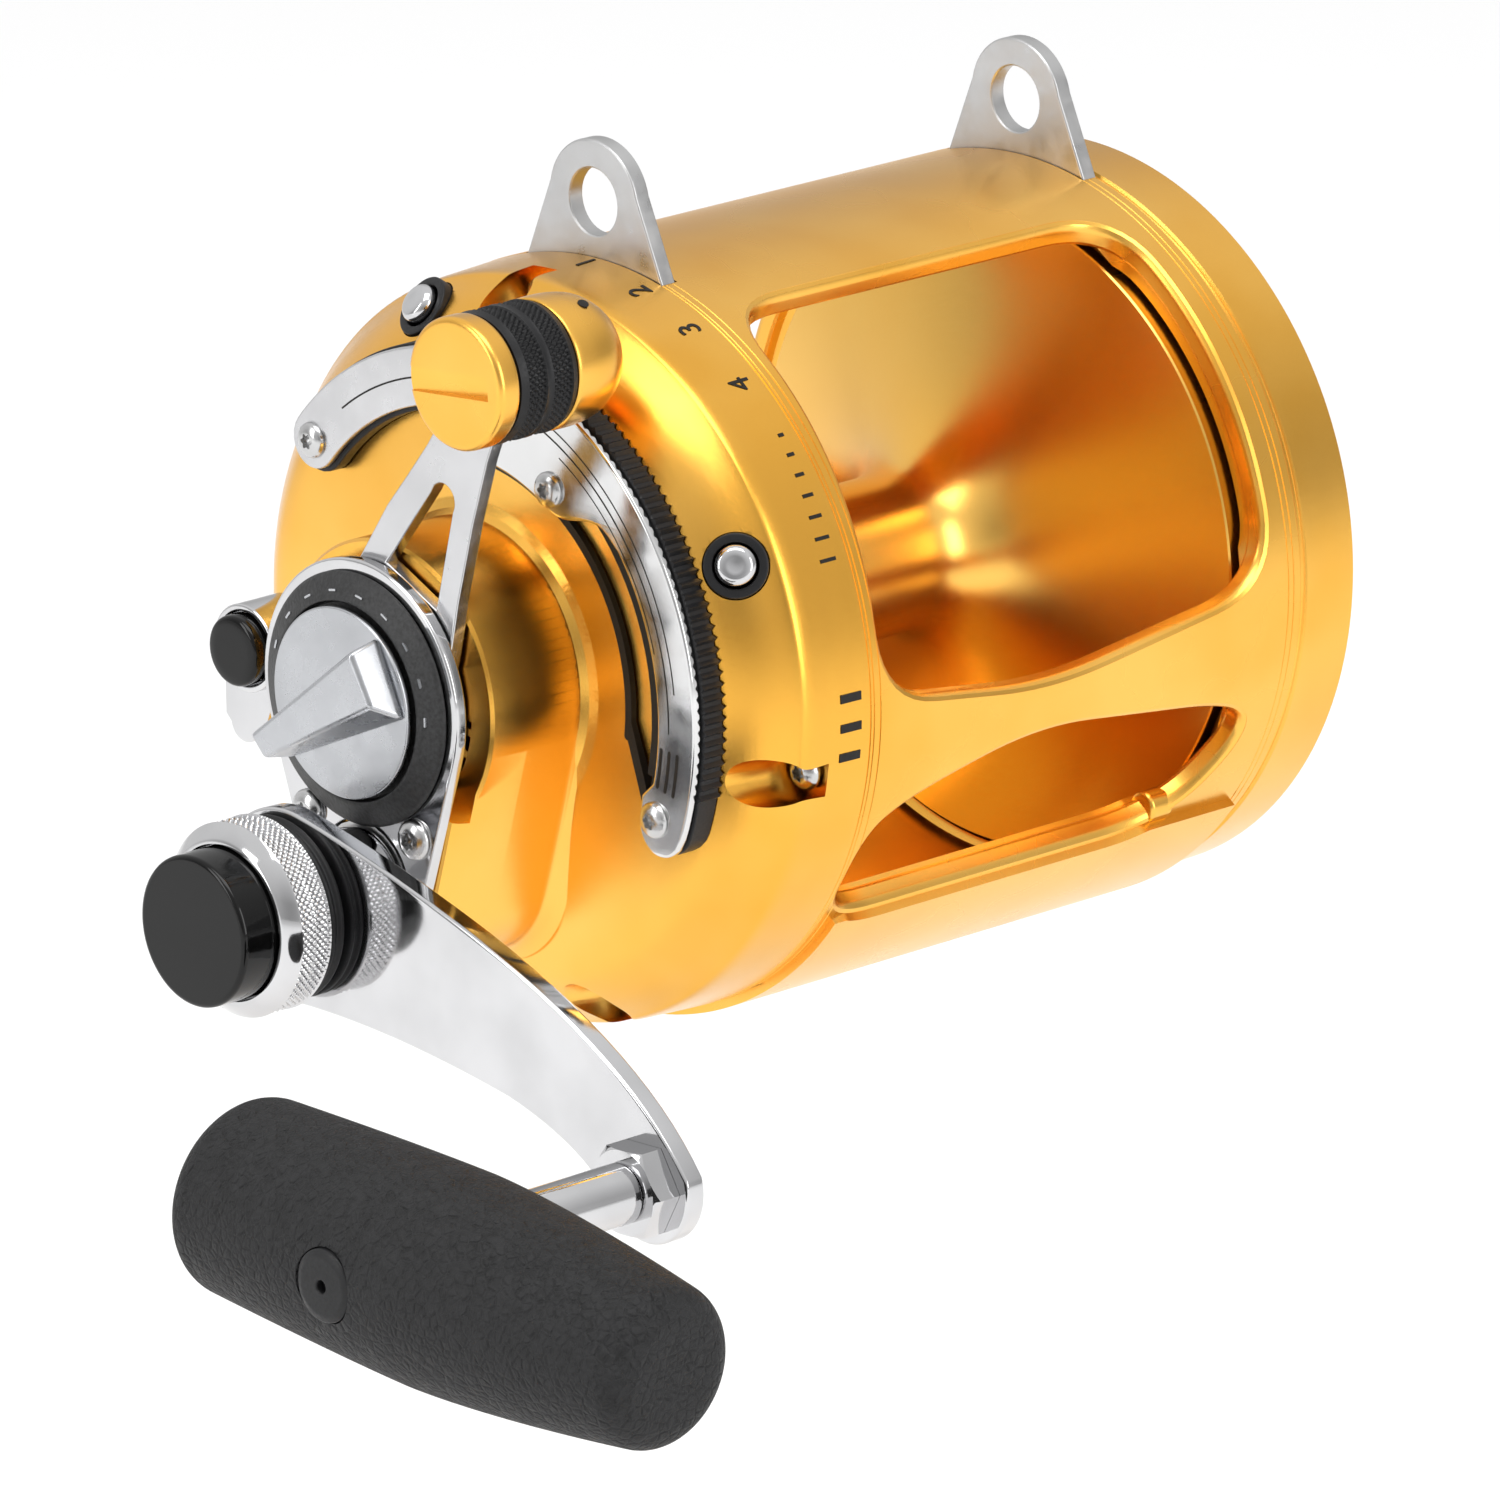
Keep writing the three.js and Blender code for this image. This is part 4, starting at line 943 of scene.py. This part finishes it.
def build_knob():
    back, front, radius = 24.4, 55.4, 10.5
    body = turned([
        (back, 0), (back + 0.7, 4.4), (back + 2.9, 7.9), (back + 6.3, 9.9), (back + 10, radius),
        (38.6, radius), (39, radius - 0.3), (39, 4), (50.9, 4), (50.9, 0),
    ], reach=1.6)
    add("knob_body", body, KNOB, "lever", SATIN_GOLD, ["lever_knob_body"])
    bands = ((40.2, 44.2), (45.6, 49.4))
    points = [(39.1, 4.2), (39.1, radius - 0.35)]
    for start, end in bands:
        points += [(start - 0.35, radius - 0.15), (start, radius - 0.02)]
        count = 16
        points += [(start + (end - start) * k / count, radius) for k in range(1, count)]
        points += [(end, radius - 0.02), (end + 0.35, radius - 0.15)]
    points += [(50.8, radius - 0.35), (50.8, 4.2)]

    def shape(x, r, angle):
        for start, end in bands:
            if start < x < end:
                return knurl(start, end, radius - 0.01, 60, 3, 0.55)(x, r, angle)
        return r

    sleeve = turned(points, 600, shape=shape)
    tongue = box(LEVER_BACK - 0.2, LEVER_FRONT + 0.2, -14, -4, -7.4, 7.4)
    mesh = cut(sleeve, tongue)
    add("knob_ring", mesh, KNOB, "lever", BLACK, ["lever_knob_sleeve"], sharp=60)
    cap = turned([(51, 0), (51, 10.5), (front, 10.5), (front, 0)], reach=1.1)
    slot = prism([(53.0, 7.4), (57, 7.4), (57, -13), (55.0, -13)], -1.9, 1.9)
    notch = placed(slot, turn(math.radians(4) - LEVER_ANGLE))
    mesh = soften(cut(cap, notch), 0.12, angle=40)
    add("knob_cap", mesh, KNOB, "lever", SATIN_GOLD, ["lever_knob_cap"])
    dot = placed(rod(-0.1, 0.1, 0.9, edge=0.05), turn(math.radians(90), "Z"))
    mesh = placed(dot, move(32.6, radius - 0.13, 0))
    add("knob_index_dot", mesh, KNOB, "lever", INK)


# ---- the other levers


def build_click_lever():
    x0, x1 = 24.0, 34.6
    place = REEL @ move(0, *CLICK_PIVOT)
    hub = turned([
        (17, 0), (17, 5.3), (x0 + 1, 5.3), (x0 + 1, 7.2), (x1, 7.2), (x1, 6.1), (x1 - 5, 6.1),
        (x1 - 5, 0),
    ], 96, reach=0.4)
    points = [(-7.0, -1), (7.0, -1), (4.6, -13.5)] + arc(3.4, -20, -160, 0, -13.3, step=12)
    finger = slab([points + [(-4.6, -13.5)]], x0 + 1.6, x1 - 2, edge=0.5)
    finger = placed(finger, turn(math.radians(-11)))
    arm = cut(join(hub, finger), rod(x1 - 5, x1 + 1, 6.1))
    add("click_arm", arm, place, "click_lever", POLISHED,
        ["click_lever"], sharp=30)
    cap = turned([
        (x1 - 1.5, 0), (x1 - 1.5, 5.8), (x1 + 2.3, 5.8), (x1 + 2.6, 4.4), (x1 + 2.6, 0),
    ], 96, reach=0.8)
    add("click_cap", cap, place, "click_lever_button", GLOSS,
        ["click_lever_button"])


# ---- left side plate


def build_left_plate():
    seam = -LENGTH
    profile = [
        (seam - 0.05, 12), (seam - 0.05, RADIUS - 0.8), (seam - 0.35, RADIUS - 0.5),
        (seam - 0.6, RADIUS - 0.5), (seam - 0.9, RADIUS - 0.02),
        (LEFT_RIM + 1.2, RADIUS - 0.3), (LEFT_RIM, RADIUS - 1.4),
        (LEFT_RIM - 1.6, RADIUS - 5), (LEFT_RIM - 1.6, 47), (LEFT_RIM + 1, 43),
        (LEFT_RIM + 1, 38.5), (LEFT_RIM + 0.7, 38.2), (LEFT_RIM + 0.7, 37.2), (LEFT_RIM + 1, 36.9),
        (LEFT_RIM + 1, 24), (LEFT_RIM - 4, 19), (LEFT_RIM - 4, 12),
    ]
    plate = turned(profile[:5] + rounded(profile[5:], 1.0), FINE_ROUND)
    pocket = turned([(seam - 9, 11), (seam - 9, 44), (seam + 1, 44), (seam + 1, 11)], 96)
    tools = [pocket, box(LEFT_RIM - 3, seam + 1, -34, -26, -4.2, 4.2)]
    angles = (*SCREW_ANGLES, 170)
    tools += [rod(LEFT_RIM - 3, LEFT_RIM + 4, 3.4, *polar(LEFT_SCREW_CIRCLE, a)) for a in angles]
    tools.append(lug_seat("left_harness_lug"))
    mesh = soften(cut(plate, *tools), 0.3, angle=45)
    add("side_plate_left", mesh, REEL, "chassis", TURNED_GOLD,
        ["left_side_plate"], sharp=25)
    head = screw_head(front=0, radius=2.9, height=2.0, shank=1.4, length=2.5)
    head = placed(head, turn(math.pi, "Z"))
    spots = [polar(LEFT_SCREW_CIRCLE, angle) for angle in angles]
    put_screws("left_screw", head, [move(LEFT_RIM + 1.7, *spot) for spot in spots])
    cap = turned([
        (-117, 0), (-117, 6), (-116.7, 6.3), (-116.7, 7.1), (-117, 7.4), (-117, 13),
        (-115.8, 14.6), (-113.4, 14.6), (-113.4, 11.7), (-106, 11.7),
        (-106, 9.4), (-108, 9.4), (-108, 4.05), (-113.8, 4.05), (-113.8, 0),
    ], reach=0.35)
    add("bearing_cap", cap, REEL, "chassis", BRIGHT_GOLD, ["left_bearing_cap"])
    stem = box(-112.6, -101, -31.4, -28.6, -3, 3)
    thumb = rod(-115.4, -111.2, 4.2, -30, 0, edge=0.7)
    tongue = box(-103.6, -101, -31.4, -24.8, -1.2, 1.2)
    ribs = [box(-116, -115, -34 + 2 * k, -33.4 + 2 * k, -5, 5) for k in range(5)]
    mesh = soften(cut(join(thumb, stem, tongue), *ribs), 0.12, angle=40)
    add("click_thumb", mesh, REEL, "click_button", BLACK, ["click_button"])


# ---- spool


def build_spool():
    rim, arbor, waist = 53.5, 13.0, 30.0
    left, right = -91.0, 1.5
    steps = 26
    flare = []
    for i in range(steps + 1):
        t = i / steps
        x = -2.2 - (waist - 2.2) * t
        flare.append((x, rim - (rim - arbor) * (1 - (1 - t) ** 2.6)))
    flare[0] = (-2.2, rim - 0.25)
    centre = (left + right) / 2
    other = [(2 * centre - x, r) for x, r in flare][::-1]
    profile = [
        (right, 46), (right, rim - 0.3), (right - 0.3, rim), (-1.9, rim), *flare, *other,
        (2 * centre + 1.9, rim), (left + 0.3, rim), (left, rim - 0.3), (left, 48), (-87.4, 44),
        (-78, 24), (-70, 15), (-70, 11.2), (-62, 11.2), (-62, 5), (-28, 5), (-28, 11.2),
        (-20, 11.2), (-20, 15), (-12, 24), (-3.4, 42), (-1.4, 46),
    ]
    mesh = turned(profile, FINE_ROUND)
    add("line_spool", mesh, REEL, "spool", SPOOL_GOLD_PAINTED_LIGHT, ["spool"], sharp=28)
    pin = turned([
        (12, 0), (12, 1.2), (15.2, 1.2), (15.2, 2.0), (16.6, 2.0), (16.6, 0),
    ], 40, reach=0.35)
    mesh = placed(pin, move(-48.3, 0, 0) @ turn(-math.pi / 2, "Y"))
    add("line_stud", mesh, REEL, "spool", BRASS, ["line_pin"])


# ---- handle


def build_handle_stack():
    collar = turned([
        (51.6, 6.2), (51.6, 9.3), (57, 9.5), (57.4, 9.1), (58, 9.1), (58.4, 9.5), (64.1, 9.5),
        (64.1, 6.2),
    ], 96, reach=0.25)
    add("collar", collar, HANDLE, "handle", POLISHED, ["handle_collar"])
    seal = turned([
        (ARM_FRONT + 0.1, 6.2), (ARM_FRONT + 0.1, 13.4), (68.6, 14.6), (69.2, 14.8), (69.7, 14.2),
        (70.1, 14.2), (70.6, 14.8), (71.1, 14.6), (71.5, 14), (71.5, 6.2),
    ], reach=0.3)
    add("seal_ring", seal, HANDLE, "handle", SEAL, ["handle_seal"])
    x0, x1, radius = 72.1, 78.0, 15.5
    rows = 22
    profile = [(71.6, 6.2), (71.6, 15.1), (71.9, 15.35)]
    profile += [(x0 + (x1 - x0) * k / rows, radius) for k in range(rows + 1)]
    profile += [(78.3, 15.3), (80.1, 13.35), (HUB_FRONT, 13.0), (HUB_FRONT, 12.5), (80.0, 12.4)]
    profile += [(73.1, 12.4), (73.1, 6.2)]
    segments = 800
    hub = turned(profile, segments, shape=knurl(x0, x1, radius, 80, 5, 0.55))
    add("hub", hub, HANDLE, "handle", POLISHED, ["handle_hub"], sharp=60)
    button = turned([
        (24, 0), (24, 1.8), (76.4, 1.8), (76.4, 12.1), (BUTTON_FRONT, 12.1), (BUTTON_FRONT, 0),
    ], reach=0.9)
    add("shift_cap", button, HANDLE, "shift_button", GLOSS, ["shift_button"])
    shaft = turned([(7.6, 2), (7.6, 6), (72.9, 6), (72.9, 2)], 64, reach=0.3)
    add("crank_shaft", shaft, HANDLE, "handle", MACHINED, ["handle_shaft"])


def bezier(start, control, end, steps=14):
    """Points between the ends of a curve that leaves both towards the control point."""
    start, control, end = Vector(start), Vector(control), Vector(end)
    shares = [k / steps for k in range(1, steps)]
    return [tuple(start * (1 - t) ** 2 + control * 2 * t * (1 - t) + end * t * t) for t in shares]


def build_arm():
    hub, tip, under, over = 15.6, 9.3, (54, -2.8), (40, 17.8)
    eye = arc(tip, 222, 395, CRANK, 0, step=6)
    outline = arc(hub, 97, 300)
    outline += bezier(outline[-1], (28, -6.4), under) + [under]
    outline += bezier(under, (70, -1.6), eye[0]) + eye
    outline += bezier(eye[-1], (76, 17.4), over) + [over]
    outline += bezier(over, (18, 17.9), (-1.9, 15.5))
    holes = [arc(6.2, 0, 352, step=8), arc(3.6, 0, 352, CRANK, 0, step=8)]
    plate = slab([outline, *holes], ARM_BACK, ARM_FRONT, edge=0.55)
    add("crank_arm", plate, ARM, "handle", POLISHED, ["handle_arm"])
    spindle = turned([
        (ARM_BACK, 0), (ARM_BACK, 3.4), (72.7, 3.4), (72.7, 4.5), (73.1, 4.8), (99.2, 4.8),
        (99.2, 3.9), (130, 3.9), (130, 0),
    ], 80, reach=0.3)
    add("spindle", spindle, END, "handle", POLISHED, ["grip_spindle"])
    hexagon = [polar(7.7, 60 * i + 20) for i in range(6)]
    blank = slab([hexagon], ARM_FRONT + 0.05, 72.6)
    cone = turned([
        (66, 0), (66, 7.9), (68.3, 7.9), (71.8, 7.9), (72.6, 6.7), (74, 4.6), (74, 0),
    ], 96)
    nut = cut(boolean("INTERSECT", blank, [cone]), rod(60, 80, 3.6))
    add("spindle_nut", soften(nut, 0.15, angle=25), END, "handle", POLISHED,
        ["grip_nut"], sharp=22)


def build_grip():
    back, front, radius, edge = -37.5, 58.5, 17.0, 4.4
    back_taper, front_taper = 0.09, 0.28
    length = front - back
    steps = 90
    profile = [(back, 0)]
    for i in range(steps + 1):
        along = back + length * (0.5 - 0.5 * math.cos(math.pi * i / steps))
        share = 2 * (along - back) / length - 1
        narrow = (back_taper if share < 0 else front_taper) * abs(share) ** 1.5
        inset = max(0.0, 1 - min(along - back, front - along) / edge)
        profile.append((along, radius * (1 - narrow) - edge * (1 - math.sqrt(1 - inset ** 2))))
    profile.append((front, 0))
    barrel = turned(profile)
    barrel.transform(move(GRIP_AXIS_X) @ turn(math.pi / 2, "Z"))
    mesh = soften(cut(barrel, rod(95, 131.4, 4.2), rod(130.4, 140, 5.9)), 0.4, angle=50)
    add("grip_body", mesh, GRIP, "grip", RUBBER, ["grip"], sharp=40)
    plug = turned([
        (130.8, 0), (130.8, 5.7), (133.5, 5.7), (133.9, 4.6), (134.0, 1.0), (132.4, 0.9),
        (132.4, 0),
    ], 96, reach=0.3)
    add("grip_cap", plug, GRIP, "grip", SEAL, ["grip_plug"])


# ---- carried-over CAD


def dress_cad():
    """Gives the sealed inner pieces, which keep their CAD shape, their materials."""
    looks = {"machined_steel": MACHINED, "gear_brass": BRASS, "drag_carbon": CARBON}
    for entry in frame["record"]["subparts"]:
        look = looks.get(entry["material_slot"])
        if look is None:
            continue
        mesh = frame["nodes"][entry["node"]].data
        mesh.materials.clear()
        mesh.materials.append(look)


# ---- stage


FLOOR_HALF = 14.0
FLOOR_DROP = 0.15
FLOOR_WHITE = 0.93
WORLD_STRENGTH = 0.9
# the surround's greys against the share of a turn about Z
PANELS = (
    (0.0, 0.75), (0.10, 0.35), (0.20, 0.95), (0.32, 1.0), (0.40, 0.28), (0.47, 0.95),
    (0.56, 0.55), (0.62, 0.30), (0.70, 1.0), (0.82, 1.0), (0.90, 0.30), (1.0, 0.75),
)
# place and size in metres, power in watts
SOFTBOXES = {
    "key": ((0.5, 0.5, 2.2), (1.8, 1.4), 26),
    "side": ((2.1, -0.7, 0.9), (0.7, 1.6), 14),
    "front": ((-0.3, 2.4, 0.8), (0.9, 1.6), 16),
}
LIGHT_AIM = (0, 0, 0.05)
# the camera's place in the reel's own millimetres, and its axes
CAMERA_PLACE = (1373.6, 1474.4, 568.8)
CAMERA_FORWARD = (-0.66265, -0.69467, -0.27989)
CAMERA_UP = (-0.20442, -0.19176, 0.95992)
CAMERA_LENS = 318.96
CAMERA_SHIFT = (-0.0020, -0.0044)


def build_stage():
    low = min(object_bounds()[0].z, CAD_BOX[0].z) - FLOOR_DROP
    signs = ((-1, -1), (1, -1), (1, 1), (-1, 1))
    mesh = bpy.data.meshes.new("floor")
    mesh.from_pydata([(x * FLOOR_HALF, y * FLOOR_HALF, low) for x, y in signs], [], [(0, 1, 2, 3)])
    look = Look("floor_white")
    look.set(Base_Color=(FLOOR_WHITE, FLOOR_WHITE, FLOOR_WHITE, 1), Roughness=0.9)
    mesh.materials.append(look.material)
    link(bpy.data.objects.new("floor", mesh))


def build_world():
    """Even studio surround with soft darker panels, so that the metal has something to show."""
    world = bpy.data.worlds.new("studio")
    bpy.context.scene.world = world
    nodes = Nodes(world)
    facing = nodes.node("ShaderNodeTexCoord").outputs["Generated"]
    parts = nodes.node("ShaderNodeSeparateXYZ", Vector=facing).outputs
    around = nodes.math("ARCTAN2", parts["Y"], parts["X"])
    share = nodes.spread(around, 0.0, 1.0, -math.pi, math.pi)
    panels = nodes.node("ShaderNodeValToRGB", Fac=share)
    ramp = panels.color_ramp
    ramp.interpolation = "B_SPLINE"
    while len(ramp.elements) < len(PANELS):
        ramp.elements.new(0.5)
    for element, (position, grey) in zip(ramp.elements, PANELS):
        element.position = position
        element.color = (grey, grey, grey, 1)
    mix = nodes.node("ShaderNodeMix", data_type="RGBA")
    nodes.feed(mix.inputs["Factor"], nodes.spread(parts["Z"], 0.0, 1.0, 0.25, 0.75))
    nodes.feed(mix.inputs[6], panels.outputs["Color"])
    nodes.feed(mix.inputs[7], (1.0, 1.0, 1.0, 1))
    background = nodes.tree.nodes["Background"]
    nodes.feed(background.inputs["Strength"], WORLD_STRENGTH)
    nodes.feed(background.inputs["Color"], mix.outputs[2])


def build_lights():
    for name, (place, size, power) in SOFTBOXES.items():
        light = bpy.data.lights.new(name, "AREA")
        light.shape = "RECTANGLE"
        light.size, light.size_y = size
        light.energy = power
        obj = link(bpy.data.objects.new(name, light))
        obj.location = place
        aim = Vector(LIGHT_AIM) - Vector(place)
        obj.rotation_mode = "QUATERNION"
        obj.rotation_quaternion = aim.to_track_quat("-Z", "Y")


def build_camera():
    """Camera fitted to the object's circles."""
    data = bpy.data.cameras.new("camera")
    camera = link(bpy.data.objects.new("camera", data))
    data.sensor_fit = "HORIZONTAL"
    data.sensor_width = 36
    data.lens = CAMERA_LENS
    data.shift_x, data.shift_y = CAMERA_SHIFT
    data.clip_start, data.clip_end = 0.05, 60
    forward = Vector(CAMERA_FORWARD)
    right = forward.cross(Vector(CAMERA_UP)).normalized()
    up = right.cross(forward).normalized()
    axes = Matrix((right, up, -forward.normalized())).transposed()
    spot = REEL @ Vector(CAMERA_PLACE)
    camera.matrix_world = Matrix.Translation(spot) @ axes.to_4x4()
    bpy.context.scene.camera = camera
    bpy.context.scene.view_settings.view_transform = "Standard"


build_camera()
build_frame()
build_lugs()
build_right_plate()
build_dial()
build_screws()
build_quadrant()
build_stops()
build_bridge()
build_preset()
build_lever()
build_knob()
build_click_lever()
build_left_plate()
build_spool()
build_handle_stack()
build_arm()
build_grip()
dress_cad()
build_stage()
build_world()
build_lights()
